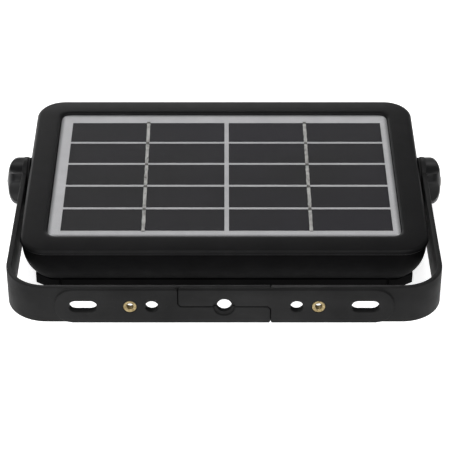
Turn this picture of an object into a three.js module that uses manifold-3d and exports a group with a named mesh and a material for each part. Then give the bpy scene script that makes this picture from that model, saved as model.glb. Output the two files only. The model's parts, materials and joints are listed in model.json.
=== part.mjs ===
// A rechargeable solar flood light on a swivelling U bracket, lying on its lens side.
//
// Millimetres, +Z up, +X to the right along the long side, +Y towards the long side with the controls.
// The head is modelled about its own centre with the table at Z = 0, the bracket about its swivel axis,
// and the whole light is moved last, so that its origin is the middle of its bounding box's bottom face.

import * as THREE from 'three';
import { mergeVertices } from 'three/addons/utils/BufferGeometryUtils.js';
import Module from 'manifold-3d';

const wasm = await Module();
wasm.setup();

// ---------------------------------------------------------------- driving sizes

// Solar panel: two columns of five cells on a light backsheet
const CELL_COLUMNS = 2;
const CELL_ROWS = 5;
const CELL_LENGTH = 78.6;
const CELL_WIDTH = 17;
const CELL_THICKNESS = 0.3;
const COLUMN_GAP = 2.2;
const ROW_GAP = 2;
const CELL_MARGIN_LEFT = 6.1;
const CELL_MARGIN_RIGHT = 3.8;
const CELL_MARGIN_NEAR = 4.6;
const CELL_MARGIN_FAR = 7.8;
const PANEL_CORNER = 4.4;
const PANEL_RECESS = 0.3;
const PANEL_CLEARANCE = 0.4;
const BOARD_THICKNESS = 2;
const RIBBON_WIDTH = 1.75;
const RIBBON_THICKNESS = 0.15;
const RIBBON_OVERHANG = 1;
const RIBBON_ROOM = 0.05;
const COVER_THICKNESS = 0.3;

// Head
const RIM_WIDTH = 13;
const HEAD_HEIGHT = 29.8;
const HEAD_CORNER = 13.5;
const WALL = 2.2;
const LIP_THICKNESS = 2.5;
const LIP_EDGE = 0.5;
const CROWN_WIDTH = 5;
const HULL_UNDERCUT = 0.8;
const PLUG_INSET = 5;
const PLUG_BELOW_FLOOR = 0.4;
const FLOOR_THICKNESS = 1.6;
const TAPER_LENGTHWISE = 6.2;
const TAPER_CROSSWISE = 9;
const TAPER_POWER = 2.4;

// Lens side
const FRAME_HEIGHT = 5.8;
const FRAME_GAP = 0.3;
const FRAME_CHAMFER_LENGTH = 8;
const FRAME_CHAMFER_WIDTH = 5;
const WINDOW_MARGIN_LENGTHWISE = 17.4;
const WINDOW_MARGIN_CROSSWISE = 14;
const WINDOW_CORNER = 6;
const LENS_LEDGE = 3;
const LENS_RECESS = 1.2;
const LENS_THICKNESS = 3;
const LENS_CLEARANCE = 0.25;
const SLIT_FROM_END = 12.4;
const SLIT_WIDTH = 1.2;
const SLIT_DEPTH = 1.2;
const REFLECTOR_WALL = 1.2;
const REFLECTOR_SLOPE = 10;
const REFLECTOR_SPREAD = 0.7;
const LED_BOARD_ABOVE_FRAME = 4.8;
const LED_BOARD_THICKNESS = 1.6;
const LED_BOARD_INSET = 5;
const LED_COLUMNS = 12;
const LED_ROWS = 6;
const LED_SIZE = 3.5;
const LED_PROUD = 0.7;
const LED_MARGIN = 6.5;

// Screws
const SCREW_RADIUS = 1.4;
const SCREW_HEAD_RADIUS = 2.8;
const SCREW_HEAD_HEIGHT = 1.9;
const SCREW_SINK = 0.5;
const SCREW_CLEARANCE = 0.15;
const BOSS_RADIUS = 3.6;
const BOSS_GAP = 0.3;
const BOSS_ABOVE_FRAME = 8.2;
const CORNER_SCREW_INSET = [9.4, 8.6];
const EDGE_SCREW_INSET = 7;
const EDGE_SCREW_SHARE = 0.3;
const EDGE_SCREW_BELOW_BOSS = 2;
const CORNER_SCREW_BELOW_FLOOR = 4;

// Swivel, at each end of the head
const PIVOT_Y = 9.6;
const PIVOT_BELOW_TOP = 12.8;
const PIVOT_RADIUS = 12.4;
const PIVOT_PROUD = 0.2;
const PIVOT_BELOW_LIP = 0.3;
const BOSS_CORE_RADIUS = 7;
const BOSS_CORE_LENGTH = 13.8;
const BOLT_RADIUS = 2.4;
const BOLT_CLEARANCE = 0.4;
const BOLT_TIP_INSIDE = 11.8;
const BOLT_HEAD_RADIUS = 2.7;
const BOLT_HEAD_PROUD = 0.9;
const BOLT_HEAD_SUNK = 1.4;
const NUT_ACROSS_FLATS = 8;
const NUT_HEIGHT = 4;
const NUT_INSIDE = 11.6;
const WASHER_RADIUS = 12;
const WASHER_THICKNESS = 1;
const TURNING_GAP = 0.12;

// Bracket
const BRACKET_TILT = 3;
const BRACKET_WIDTH = 19.4;
const BRACKET_THICKNESS = 2.4;
const BRACKET_BEND = 19.5;
const SWING_CLEARANCE = 27;
const PAD_THICKNESS = 1.6;
const PAD_EDGE = 0.6;
const PAD_END_GAP = 4.1;
const SEAM_REACH = 21.3;
const SEAM_CHAMFER = 1.2;
const SEAM_GAP = 0.4;
const SEAM_NOTCH_HALF = 1.1;
const SEAM_NOTCH_DEPTH = 1.2;
const SLOT_FROM_PAD_END = 13;
const SLOT_LENGTH = 13.1;
const SLOT_WIDTH = 6.2;
const INSERT_POSITION = 43.3;
const INSERT_RADIUS = 3.2;
const INSERT_BORE = 1.7;
const ROUND_HOLE_POSITION = 33.3;
const ROUND_HOLE_RADIUS = 3.05;
const CENTRE_HOLE_RADIUS = 3.4;
const CENTRE_RIM_RADIUS = 5;
const CENTRE_RIM_DEPTH = 1.2;

// Knobs
const KNOB_HEIGHT = 7.7;
const KNOB_SKIRT = 2.2;
const KNOB_FACE_RADIUS = 5;
const KNOB_LOBES = 5;
const SCALLOP_RADIUS = 9;
const SCALLOP_BITE = 3.2;
const SCALLOP_TURN = 14;
const KNOB_WASHER_RADIUS = 6;
const KNOB_WASHER_THICKNESS = 1;

// Controls, on the far long side
const CONTROL_INSET = 7.6;
const CONTROL_ABOVE_FRAME = 3.7;
const CONTROL_HEIGHT = 12;
const CONTROL_HALF_LENGTH = 34;
const BUTTON_X = 20;
const BUTTON_RADIUS = 4.6;
const BUTTON_PROUD = 1.2;
const BUTTON_TRAVEL = 1;
const BUTTON_CLEARANCE = 0.3;
const PORT_X = -20;
const PORT_LENGTH = 10.4;
const PORT_HEIGHT = 4.8;
const FLAP_LENGTH = 18;
const FLAP_HEIGHT = 9;
const FLAP_THICKNESS = 1.4;
const PIPE_RADIUS = 1.5;
const CONTROL_BOARD_BEHIND = 10.1;
const CONTROL_BOARD_HALF_LENGTH = 30;
const CONTROL_BOARD_THICKNESS = 1.6;

// Battery and wires inside
const BATTERY_SHARE = [0.51, 0.41];
const BATTERY_HEIGHT = 8;
const BATTERY_CENTRE = [-18, -9];
const FOAM_THICKNESS = 1;
const WIRE_HOLE = [-58, 30];
const WIRE_HOLE_RADIUS = 4;
const WIRE_RADIUS = 0.7;
const WIRE_STEP = 5;
const WIRE_SPACING = 2.2;
const WIRE_END_GAP = 0.9;

// ---------------------------------------------------------------- places worked out from them

const CELLS_LENGTH = CELL_COLUMNS * CELL_LENGTH + (CELL_COLUMNS - 1) * COLUMN_GAP;
const CELLS_WIDTH = CELL_ROWS * CELL_WIDTH + (CELL_ROWS - 1) * ROW_GAP;
const PANEL_LENGTH = CELL_MARGIN_LEFT + CELLS_LENGTH + CELL_MARGIN_RIGHT;
const PANEL_WIDTH = CELL_MARGIN_NEAR + CELLS_WIDTH + CELL_MARGIN_FAR;
const HEAD_LENGTH = PANEL_LENGTH + 2 * RIM_WIDTH;
const HEAD_WIDTH = PANEL_WIDTH + 2 * RIM_WIDTH;
const PARTING_HEIGHT = HEAD_HEIGHT - LIP_THICKNESS;
const PANEL_TOP = HEAD_HEIGHT - PANEL_RECESS;
const COVER_BOTTOM = PANEL_TOP - COVER_THICKNESS;
const RIBBON_BOTTOM = COVER_BOTTOM - RIBBON_ROOM - RIBBON_THICKNESS;
const CELL_BOTTOM = RIBBON_BOTTOM - CELL_THICKNESS;
const PANEL_BOTTOM = CELL_BOTTOM - BOARD_THICKNESS;
const BEZEL_FLOOR_BOTTOM = PANEL_BOTTOM - FLOOR_THICKNESS;
const LENS_TOP = LENS_RECESS + LENS_THICKNESS;
const HOUSING_FLOOR_TOP = FRAME_HEIGHT + WALL;
const HOUSING_BOSS_TOP = FRAME_HEIGHT + BOSS_ABOVE_FRAME;
const LED_BOARD_HEIGHT = FRAME_HEIGHT + LED_BOARD_ABOVE_FRAME;
const FRAME_LENGTH = HEAD_LENGTH - 2 * TAPER_LENGTHWISE;
const FRAME_WIDTH = HEAD_WIDTH - 2 * TAPER_CROSSWISE;
const WINDOW_LENGTH = FRAME_LENGTH - 2 * WINDOW_MARGIN_LENGTHWISE;
const WINDOW_WIDTH = FRAME_WIDTH - 2 * WINDOW_MARGIN_CROSSWISE;
const SLIT_POSITION = FRAME_LENGTH / 2 - SLIT_FROM_END;
const CORNER_SCREW_TIP = BEZEL_FLOOR_BOTTOM - CORNER_SCREW_BELOW_FLOOR;
const EDGE_SCREW_TIP = HOUSING_BOSS_TOP - EDGE_SCREW_BELOW_BOSS;
const PIVOT_HEIGHT = HEAD_HEIGHT - PIVOT_BELOW_TOP;
const PIVOT_FACE = HEAD_LENGTH / 2 + PIVOT_PROUD;
const BOSS_CORE_START = PIVOT_FACE - BOSS_CORE_LENGTH;
const BOLT_TIP = PIVOT_FACE - BOLT_TIP_INSIDE;
const PIVOT_BORE = BOLT_RADIUS + BOLT_CLEARANCE;
const ARM_INNER = PIVOT_FACE + WASHER_THICKNESS + 2 * TURNING_GAP;
const ARM_OUTER = ARM_INNER + BRACKET_THICKNESS;
const HEAD_SWING = Math.hypot(HEAD_WIDTH / 2 + PIVOT_Y, PIVOT_HEIGHT);
const BRACKET_REACH = HEAD_SWING + SWING_CLEARANCE + BRACKET_THICKNESS;
const STRAP_HALF = BRACKET_WIDTH / 2;
const PAD_HEIGHT = BRACKET_WIDTH - 2 * PAD_EDGE;
const PAD_HALF_LENGTH = ARM_OUTER - BRACKET_BEND - PAD_END_GAP;
const SLOT_POSITION = PAD_HALF_LENGTH - SLOT_FROM_PAD_END;
const CONTROL_FACE_Y = HEAD_WIDTH / 2 - CONTROL_INSET;
const CONTROL_LOW = FRAME_HEIGHT + CONTROL_ABOVE_FRAME;
const CONTROL_HIGH = CONTROL_LOW + CONTROL_HEIGHT;
const CONTROL_MIDDLE = (CONTROL_LOW + CONTROL_HIGH) / 2;
const CONTROL_BOARD_Y = CONTROL_FACE_Y - CONTROL_BOARD_BEHIND;

// ---------------------------------------------------------------- materials

function material(colour, roughness, metalness = 0) {
  return new THREE.MeshStandardMaterial({ color: colour, roughness, metalness });
}

const materials = {
  shell: material('#1d1d1e', 0.55),
  bracket: material('#1b1b1c', 0.6),
  knob: material('#171718', 0.5),
  rubber: material('#141414', 0.85),
  backsheet: material('#a7a9ac', 0.6),
  cell: material('#1e1d22', 0.35),
  ribbon: material('#b5b3a8', 0.4, 0.9),
  clear: material('#dfe4e8', 0.15),
  white: material('#eceae4', 0.45),
  brass: material('#b08d4a', 0.35, 1),
  steel: material('#9a9a98', 0.35, 1),
  board: material('#1d4a2c', 0.5),
  foil: material('#8c9196', 0.4, 0.6),
  copper: material('#a01f1f', 0.5),
  foam: material('#303030', 0.95),
};

// ---------------------------------------------------------------- shape helpers

function solid(geometry) {
  const bare = geometry.clone();
  bare.deleteAttribute('normal');
  bare.deleteAttribute('uv');
  const merged = mergeVertices(bare, 1e-4);
  const vertProperties = new Float32Array(merged.attributes.position.array);
  const triVerts = new Uint32Array(merged.index.array);
  return new wasm.Manifold(new wasm.Mesh({ numProp: 3, vertProperties, triVerts }));
}

function surface(manifold) {
  const mesh = manifold.getMesh();
  const geometry = new THREE.BufferGeometry();
  geometry.setAttribute('position', new THREE.BufferAttribute(mesh.vertProperties, 3));
  geometry.setIndex(new THREE.BufferAttribute(mesh.triVerts, 1));
  geometry.computeVertexNormals();
  return geometry;
}

function join(...pieces) {
  return pieces.reduce((all, piece) => all.add(piece));
}

function cut(body, ...tools) {
  return tools.reduce((rest, tool) => rest.subtract(tool), body);
}

// A box between two corners.
function block(low, high) {
  const size = high.map((value, k) => value - low[k]);
  const geometry = new THREE.BoxGeometry(...size);
  geometry.translate(low[0] + size[0] / 2, low[1] + size[1] / 2, low[2] + size[2] / 2);
  return solid(geometry);
}

// A round bar from one point along an axis, 'x', 'y' or 'z'.
function rod(radius, start, length, axis = 'z', sides = 24) {
  const geometry = new THREE.CylinderGeometry(radius, radius, length, sides);
  geometry.translate(0, length / 2, 0);
  if (axis === 'x') {
    geometry.rotateZ(-Math.PI / 2);
  } else if (axis === 'z') {
    geometry.rotateX(Math.PI / 2);
  }
  geometry.translate(...start);
  return solid(geometry);
}

// A turned piece: the profile is [radius, distance along the axis] pairs, closed on the axis.
function turned(profile, sides = 32) {
  return new THREE.LatheGeometry(profile.map(([r, h]) => new THREE.Vector2(r, h)), sides);
}

// The outline of a rectangle with rounded corners, centred on the origin.
function roundedRectangle(length, width, radius, steps = 4) {
  const points = [];
  const across = length / 2 - radius;
  const along = width / 2 - radius;
  const centres = [[across, along], [-across, along], [-across, -along], [across, -along]];
  centres.forEach(([x, y], corner) => {
    for (let k = 0; k <= steps; k += 1) {
      const angle = (corner + k / steps) * Math.PI / 2;
      points.push(new THREE.Vector2(x + radius * Math.cos(angle), y + radius * Math.sin(angle)));
    }
  });
  return points;
}

// A straight-sided plate with the given outline, from one height to another.
function plate(outline, low, high) {
  const shape = outline instanceof THREE.Shape ? outline : new THREE.Shape(outline);
  const settings = { depth: high - low, bevelEnabled: false, curveSegments: 10 };
  const geometry = new THREE.ExtrudeGeometry(shape, settings);
  geometry.translate(0, 0, low);
  return solid(geometry);
}

// A solid through rounded rectangles stacked along Z: levels are { z, length, width, radius }.
function loft(levels) {
  const rings = levels.map(({ length, width, radius }) => roundedRectangle(length, width, radius));
  const count = rings[0].length;
  const positions = [];
  const faces = [];
  rings.forEach((ring, k) => ring.forEach((p) => positions.push(p.x, p.y, levels[k].z)));
  for (let k = 0; k + 1 < rings.length; k += 1) {
    for (let i = 0; i < count; i += 1) {
      const a = k * count + i;
      const b = k * count + (i + 1) % count;
      faces.push(a, b, b + count, a, b + count, a + count);
    }
  }
  const top = (rings.length - 1) * count;
  for (let i = 1; i + 1 < count; i += 1) {
    faces.push(0, i + 1, i, top, top + i, top + i + 1);
  }
  const geometry = new THREE.BufferGeometry();
  geometry.setAttribute('position', new THREE.Float32BufferAttribute(positions, 3));
  geometry.setIndex(faces);
  return solid(geometry);
}

// The same rounded rectangle drawn in from the head's outline.
function headLevel(z, inset, insetWidth = inset) {
  return {
    z,
    length: HEAD_LENGTH - 2 * inset,
    width: HEAD_WIDTH - 2 * insetWidth,
    radius: Math.max(HEAD_CORNER - 0.6 * inset, 2),
  };
}

const group = new THREE.Group();

function add(parent, name, shape, finish) {
  const geometry = shape.isBufferGeometry ? shape : surface(shape);
  const mesh = new THREE.Mesh(geometry, finish);
  mesh.name = name;
  parent.add(mesh);
  return mesh;
}

// ---------------------------------------------------------------- the head's shells

// How far the lower housing has drawn in at a height, as a share of its whole taper.
function taperShare(z) {
  const depth = THREE.MathUtils.clamp((PARTING_HEIGHT - z) / (PARTING_HEIGHT - FRAME_HEIGHT), 0, 1);
  return depth ** TAPER_POWER;
}

function housingLevels(low, high, inset, steps) {
  const levels = [];
  for (let k = 0; k <= steps; k += 1) {
    const z = low + (high - low) * k / steps;
    const share = taperShare(z);
    levels.push(headLevel(z, inset + share * TAPER_LENGTHWISE, inset + share * TAPER_CROSSWISE));
  }
  return levels;
}

const SIDES = [-1, 1];
const SCREW_PLACES = [];
const CORNER_SCREW_X = FRAME_LENGTH / 2 - CORNER_SCREW_INSET[0];
const CORNER_SCREW_Y = FRAME_WIDTH / 2 - CORNER_SCREW_INSET[1];
const EDGE_SCREW_X = WINDOW_LENGTH * EDGE_SCREW_SHARE;
const EDGE_SCREW_Y = FRAME_WIDTH / 2 - EDGE_SCREW_INSET;
for (const y of SIDES) {
  for (const x of SIDES) {
    SCREW_PLACES.push({ x: x * CORNER_SCREW_X, y: y * CORNER_SCREW_Y, tip: CORNER_SCREW_TIP });
    SCREW_PLACES.push({ x: x * EDGE_SCREW_X, y: y * EDGE_SCREW_Y, tip: EDGE_SCREW_TIP });
  }
}

function screwHole(place, low, high) {
  return rod(SCREW_RADIUS + SCREW_CLEARANCE, [place.x, place.y, low], high - low, 'z', 10);
}

// The round pad that the bracket's arm turns on, cut off flat under the bezel's lip.
function pivotPad(side) {
  const root = FRAME_LENGTH / 2 - WALL / 2;
  const start = side > 0 ? root : -PIVOT_FACE;
  const disc = rod(PIVOT_RADIUS, [start, PIVOT_Y, PIVOT_HEIGHT], PIVOT_FACE - root, 'x', 40);
  const high = PARTING_HEIGHT - PIVOT_BELOW_LIP;
  return disc.intersect(block([-HEAD_LENGTH, -HEAD_WIDTH, 0], [HEAD_LENGTH, HEAD_WIDTH, high]));
}

function lowerHousing() {
  const outer = loft(housingLevels(FRAME_HEIGHT, PARTING_HEIGHT, HULL_UNDERCUT, 7));
  const cavity = loft(housingLevels(HOUSING_FLOOR_TOP, PARTING_HEIGHT + 1, HULL_UNDERCUT + WALL, 7));
  const pads = SIDES.map((side) => pivotPad(side));
  const frameRoom = block(
    [-FRAME_LENGTH / 2 - FRAME_GAP, -HEAD_WIDTH, -1],
    [FRAME_LENGTH / 2 + FRAME_GAP, HEAD_WIDTH, FRAME_HEIGHT],
  );
  let body = cut(join(outer, ...pads), cavity, frameRoom);

  // Bosses for the nuts of the swivel bolts, and for the screws.
  for (const side of SIDES) {
    const start = side > 0 ? BOSS_CORE_START : -PIVOT_FACE;
    const core = rod(BOSS_CORE_RADIUS, [start, PIVOT_Y, PIVOT_HEIGHT], BOSS_CORE_LENGTH, 'x');
    body = body.add(core);
  }
  for (const place of SCREW_PLACES) {
    const start = [place.x, place.y, FRAME_HEIGHT];
    body = body.add(rod(BOSS_RADIUS, start, HOUSING_BOSS_TOP - FRAME_HEIGHT, 'z', 16));
  }

  // The flat bay for the controls in the far wall, backed by a thicker wall.
  const backing = block(
    [-CONTROL_HALF_LENGTH - 2, CONTROL_FACE_Y - WALL - 0.5, CONTROL_LOW - 1.5],
    [CONTROL_HALF_LENGTH + 2, HEAD_WIDTH / 2, CONTROL_HIGH + 1.5],
  ).intersect(outer);
  const bay = plate(
    roundedRectangle(2 * CONTROL_HALF_LENGTH, CONTROL_HIGH - CONTROL_LOW + 6, 3),
    0,
    HEAD_WIDTH,
  );
  const bayAcross = bay.rotate([-90, 0, 0]).translate([0, CONTROL_FACE_Y, CONTROL_MIDDLE - 3]);
  body = body.add(backing).subtract(bayAcross);

  const portHole = plate(roundedRectangle(PORT_LENGTH, PORT_HEIGHT, PORT_HEIGHT / 2 - 0.1), 0, 20)
    .rotate([-90, 0, 0])
    .translate([PORT_X, CONTROL_FACE_Y - 10, CONTROL_MIDDLE]);
  const buttonStart = [BUTTON_X, CONTROL_FACE_Y - 10, CONTROL_MIDDLE];
  const pipeStart = [0, CONTROL_FACE_Y - 10, CONTROL_MIDDLE];
  const windowOutline = roundedRectangle(WINDOW_LENGTH + 2, WINDOW_WIDTH + 2, WINDOW_CORNER);
  const windowCut = plate(windowOutline, 0, HOUSING_FLOOR_TOP + 1);
  body = cut(
    body,
    windowCut,
    portHole,
    rod(BUTTON_RADIUS + BUTTON_CLEARANCE, buttonStart, 20, 'y'),
    rod(PIPE_RADIUS + SCREW_CLEARANCE, pipeStart, 20, 'y', 20),
  );
  for (const side of SIDES) {
    const boreStart = side > 0 ? BOSS_CORE_START - 1 : -PIVOT_FACE - 1;
    const boreLength = BOSS_CORE_LENGTH + 2;
    body = body.subtract(rod(PIVOT_BORE, [boreStart, PIVOT_Y, PIVOT_HEIGHT], boreLength, 'x', 24));
    const pocketLength = NUT_HEIGHT + 2.4;
    const pocketStart = side > 0 ? BOSS_CORE_START - 0.1 : -BOSS_CORE_START + 0.1 - pocketLength;
    body = body.subtract(hexBar(NUT_ACROSS_FLATS / 2 + 0.15, pocketStart, pocketLength));
  }
  for (const place of SCREW_PLACES) {
    body = body.subtract(screwHole(place, 0, place.tip + 1));
  }
  return body;
}

// A six-sided bar along the swivel axis; the half-width is across the flats.
function hexBar(halfFlats, start, length) {
  return rod(halfFlats / Math.cos(Math.PI / 6), [start, PIVOT_Y, PIVOT_HEIGHT], length, 'x', 6);
}

// The bezel: a thin lip round the panel with a crowned top and a rounded lower edge.
function bezelShell() {
  const crownStart = PARTING_HEIGHT + LIP_EDGE;
  const crownHeight = HEAD_HEIGHT - crownStart;
  const levels = [headLevel(PARTING_HEIGHT, LIP_EDGE)];
  const crownSteps = 5;
  for (let k = 0; k <= crownSteps; k += 1) {
    const angle = k / crownSteps * Math.PI / 2;
    levels.push(headLevel(crownStart + crownHeight * Math.sin(angle), CROWN_WIDTH * (1 - Math.cos(angle))));
  }
  const plugBottom = BEZEL_FLOOR_BOTTOM - PLUG_BELOW_FLOOR;
  const plug = loft([headLevel(plugBottom, PLUG_INSET), headLevel(PARTING_HEIGHT + 0.5, PLUG_INSET)]);
  const plugHollow = loft([
    headLevel(plugBottom - 1, PLUG_INSET + WALL),
    headLevel(BEZEL_FLOOR_BOTTOM, PLUG_INSET + WALL),
  ]);
  const pocketOutline = roundedRectangle(
    PANEL_LENGTH + 2 * PANEL_CLEARANCE,
    PANEL_WIDTH + 2 * PANEL_CLEARANCE,
    PANEL_CORNER + PANEL_CLEARANCE,
  );
  const pocket = plate(pocketOutline, PANEL_BOTTOM, HEAD_HEIGHT + 1);
  let body = cut(join(loft(levels), plug), plugHollow, pocket);
  for (const place of SCREW_PLACES.filter(({ tip }) => tip === CORNER_SCREW_TIP)) {
    const low = HOUSING_BOSS_TOP + BOSS_GAP;
    const post = rod(BOSS_RADIUS, [place.x, place.y, low], BEZEL_FLOOR_BOTTOM + 0.5 - low, 'z', 16);
    body = body.add(post).subtract(screwHole(place, low - 1, place.tip + 1));
  }
  const holeStart = [...WIRE_HOLE, BEZEL_FLOOR_BOTTOM - 1];
  return body.subtract(rod(WIRE_HOLE_RADIUS, holeStart, FLOOR_THICKNESS + 2, 'z', 20));
}

function housingGasket() {
  const low = PARTING_HEIGHT - 1.5;
  const high = PARTING_HEIGHT - 0.4;
  const outside = HULL_UNDERCUT + WALL + 0.3;
  const inside = PLUG_INSET - 0.3;
  const outer = loft([headLevel(low, outside), headLevel(high, outside)]);
  const inner = loft([headLevel(low - 1, inside), headLevel(high + 1, inside)]);
  return outer.subtract(inner);
}

// ---------------------------------------------------------------- the solar panel

function addPanel() {
  const sheet = roundedRectangle(PANEL_LENGTH, PANEL_WIDTH, PANEL_CORNER);
  add(group, 'panel_board', plate(sheet, PANEL_BOTTOM, CELL_BOTTOM), materials.backsheet);
  add(group, 'panel_cover', plate(sheet, COVER_BOTTOM, PANEL_TOP), materials.clear);

  let number = 0;
  const near = -PANEL_WIDTH / 2 + CELL_MARGIN_NEAR;
  for (let column = 0; column < CELL_COLUMNS; column += 1) {
    const left = -PANEL_LENGTH / 2 + CELL_MARGIN_LEFT + column * (CELL_LENGTH + COLUMN_GAP);
    for (let row = 0; row < CELL_ROWS; row += 1) {
      const low = [left, near + row * (CELL_WIDTH + ROW_GAP), CELL_BOTTOM];
      const cell = block(low, [left + CELL_LENGTH, low[1] + CELL_WIDTH, RIBBON_BOTTOM]);
      number += 1;
      add(group, `solar_cell_${number}`, cell, materials.cell);
    }
    const middle = left + CELL_LENGTH / 2;
    const ribbon = block(
      [middle - RIBBON_WIDTH / 2, near - RIBBON_OVERHANG, RIBBON_BOTTOM],
      [middle + RIBBON_WIDTH / 2, near + CELLS_WIDTH + RIBBON_OVERHANG, RIBBON_BOTTOM + RIBBON_THICKNESS],
    );
    add(group, column === 0 ? 'panel_ribbon_left' : 'panel_ribbon_right', ribbon, materials.ribbon);
  }
}

// ---------------------------------------------------------------- the lens side

// The lens frame's outline: a rectangle with its corners cut off.
function frameOutline(length, width) {
  const points = [];
  for (const [x, y] of [[1, 1], [-1, 1], [-1, -1], [1, -1]]) {
    const alongX = new THREE.Vector2(x * (length / 2 - FRAME_CHAMFER_LENGTH), y * width / 2);
    const alongY = new THREE.Vector2(x * length / 2, y * (width / 2 - FRAME_CHAMFER_WIDTH));
    points.push(...(x * y > 0 ? [alongY, alongX] : [alongX, alongY]));
  }
  return points;
}

function lensFrame() {
  let body = plate(frameOutline(FRAME_LENGTH, FRAME_WIDTH), 0, FRAME_HEIGHT);
  const pocketOutline = roundedRectangle(
    WINDOW_LENGTH + 2 * LENS_LEDGE,
    WINDOW_WIDTH + 2 * LENS_LEDGE,
    WINDOW_CORNER + LENS_LEDGE,
  );
  body = cut(
    body,
    plate(roundedRectangle(WINDOW_LENGTH, WINDOW_WIDTH, WINDOW_CORNER), -1, FRAME_HEIGHT),
    plate(pocketOutline, LENS_RECESS, FRAME_HEIGHT + 1),
  );
  for (const y of SIDES) {
    for (const x of SIDES) {
      const edge = y * FRAME_WIDTH / 2;
      const slit = block(
        [x * SLIT_POSITION - SLIT_WIDTH / 2, edge - SLIT_DEPTH, -1],
        [x * SLIT_POSITION + SLIT_WIDTH / 2, edge + SLIT_DEPTH, FRAME_HEIGHT + 1],
      );
      body = body.subtract(slit);
    }
  }
  for (const place of SCREW_PLACES) {
    const sinkLength = SCREW_SINK + SCREW_HEAD_HEIGHT + 1.1;
    const sink = rod(SCREW_HEAD_RADIUS + 0.4, [place.x, place.y, -1], sinkLength, 'z', 16);
    body = cut(body, sink, screwHole(place, -1, FRAME_HEIGHT + 1));
  }
  return body;
}

// The lens and its gasket share one outline, a little inside the frame's pocket.
function lensOutline(inset) {
  return roundedRectangle(
    WINDOW_LENGTH + 2 * (LENS_LEDGE - inset),
    WINDOW_WIDTH + 2 * (LENS_LEDGE - inset),
    WINDOW_CORNER + LENS_LEDGE - inset,
  );
}

function reflectorLevels(low, high, inset, slopeShare) {
  return [[low, 0], [high, slopeShare]].map(([z, share]) => ({
    z,
    length: WINDOW_LENGTH + 2 * (REFLECTOR_SPREAD - inset - share * REFLECTOR_SLOPE),
    width: WINDOW_WIDTH + 2 * (REFLECTOR_SPREAD - inset - share * REFLECTOR_SLOPE),
    radius: WINDOW_CORNER + REFLECTOR_SPREAD - inset,
  }));
}

// A tray with sloping walls from the window up to the LED board, open at both ends.
function reflector() {
  const low = LENS_TOP + 0.1;
  const high = LED_BOARD_HEIGHT;
  const outer = loft(reflectorLevels(low, high, 0, 1));
  const inner = loft(reflectorLevels(low - 0.01, high + 0.01, REFLECTOR_WALL, 1));
  const flangeInset = LED_BOARD_INSET - 1;
  const flangeOuter = roundedRectangle(
    WINDOW_LENGTH - 2 * flangeInset,
    WINDOW_WIDTH - 2 * flangeInset,
    WINDOW_CORNER,
  );
  const flange = plate(flangeOuter, high - REFLECTOR_WALL, high);
  return outer.add(flange).subtract(inner);
}

function ledBoard() {
  const length = WINDOW_LENGTH - 2 * LED_BOARD_INSET;
  const width = WINDOW_WIDTH - 2 * LED_BOARD_INSET;
  const outline = roundedRectangle(length, width, 3);
  let board = plate(outline, LED_BOARD_HEIGHT, LED_BOARD_HEIGHT + LED_BOARD_THICKNESS);
  const fieldLength = WINDOW_LENGTH - 2 * (REFLECTOR_SLOPE + LED_MARGIN);
  const fieldWidth = WINDOW_WIDTH - 2 * (REFLECTOR_SLOPE + LED_MARGIN);
  const half = LED_SIZE / 2;
  for (let row = 0; row < LED_ROWS; row += 1) {
    for (let column = 0; column < LED_COLUMNS; column += 1) {
      const x = fieldLength * (column / (LED_COLUMNS - 1) - 0.5);
      const y = fieldWidth * (row / (LED_ROWS - 1) - 0.5);
      const low = [x - half, y - half, LED_BOARD_HEIGHT - LED_PROUD];
      board = board.add(block(low, [x + half, y + half, LED_BOARD_HEIGHT + 0.2]));
    }
  }
  return board;
}

// A pan-head screw pointing up, with a cross recess.
function frameScrew(place) {
  const low = SCREW_SINK;
  const profile = [
    [0, low],
    [SCREW_HEAD_RADIUS - 0.5, low],
    [SCREW_HEAD_RADIUS, low + 0.5],
    [SCREW_HEAD_RADIUS, low + SCREW_HEAD_HEIGHT],
    [SCREW_RADIUS, low + SCREW_HEAD_HEIGHT],
    [SCREW_RADIUS, place.tip - 1.5],
    [0, place.tip],
  ];
  const geometry = turned(profile, 12);
  geometry.rotateX(Math.PI / 2);
  const arm = SCREW_HEAD_RADIUS * 0.6;
  const blade = 0.35;
  const body = cut(
    solid(geometry),
    block([-arm, -blade, low - 1], [arm, blade, low + 0.9]),
    block([-blade, -arm, low - 1], [blade, arm, low + 0.9]),
  );
  return body.translate([place.x, place.y, 0]);
}

function addLensSide() {
  add(group, 'lens_frame', lensFrame(), materials.shell);
  const lens = plate(lensOutline(LENS_CLEARANCE), LENS_RECESS, LENS_TOP);
  add(group, 'lens', lens, materials.clear);
  const ring = plate(lensOutline(LENS_CLEARANCE), LENS_TOP, FRAME_HEIGHT);
  const opening = plate(lensOutline(LENS_LEDGE - 1), LENS_TOP - 1, FRAME_HEIGHT + 1);
  add(group, 'lens_gasket', ring.subtract(opening), materials.rubber);
  add(group, 'reflector', reflector(), materials.white);
  add(group, 'led_board', ledBoard(), materials.white);
  SCREW_PLACES.forEach((place, k) => {
    add(group, `frame_screw_${k + 1}`, frameScrew(place), materials.steel);
  });
}

// ---------------------------------------------------------------- what is inside

// A wire along points, round in section.
function wire(points, radius = WIRE_RADIUS) {
  const path = new THREE.CatmullRomCurve3(points.map((p) => new THREE.Vector3(...p)));
  const section = new THREE.Shape();
  section.absarc(0, 0, radius, 0, Math.PI * 2);
  const steps = Math.ceil(path.getLength() / (WIRE_STEP * radius));
  const settings = { steps, curveSegments: 3, extrudePath: path, bevelEnabled: false };
  return new THREE.ExtrudeGeometry(section, settings);
}

const FOAM_LOW = LED_BOARD_HEIGHT + LED_BOARD_THICKNESS;
const BATTERY_LOW = FOAM_LOW + FOAM_THICKNESS;
const CONTROL_BOARD_BACK = CONTROL_BOARD_Y + CONTROL_BOARD_THICKNESS;

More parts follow.
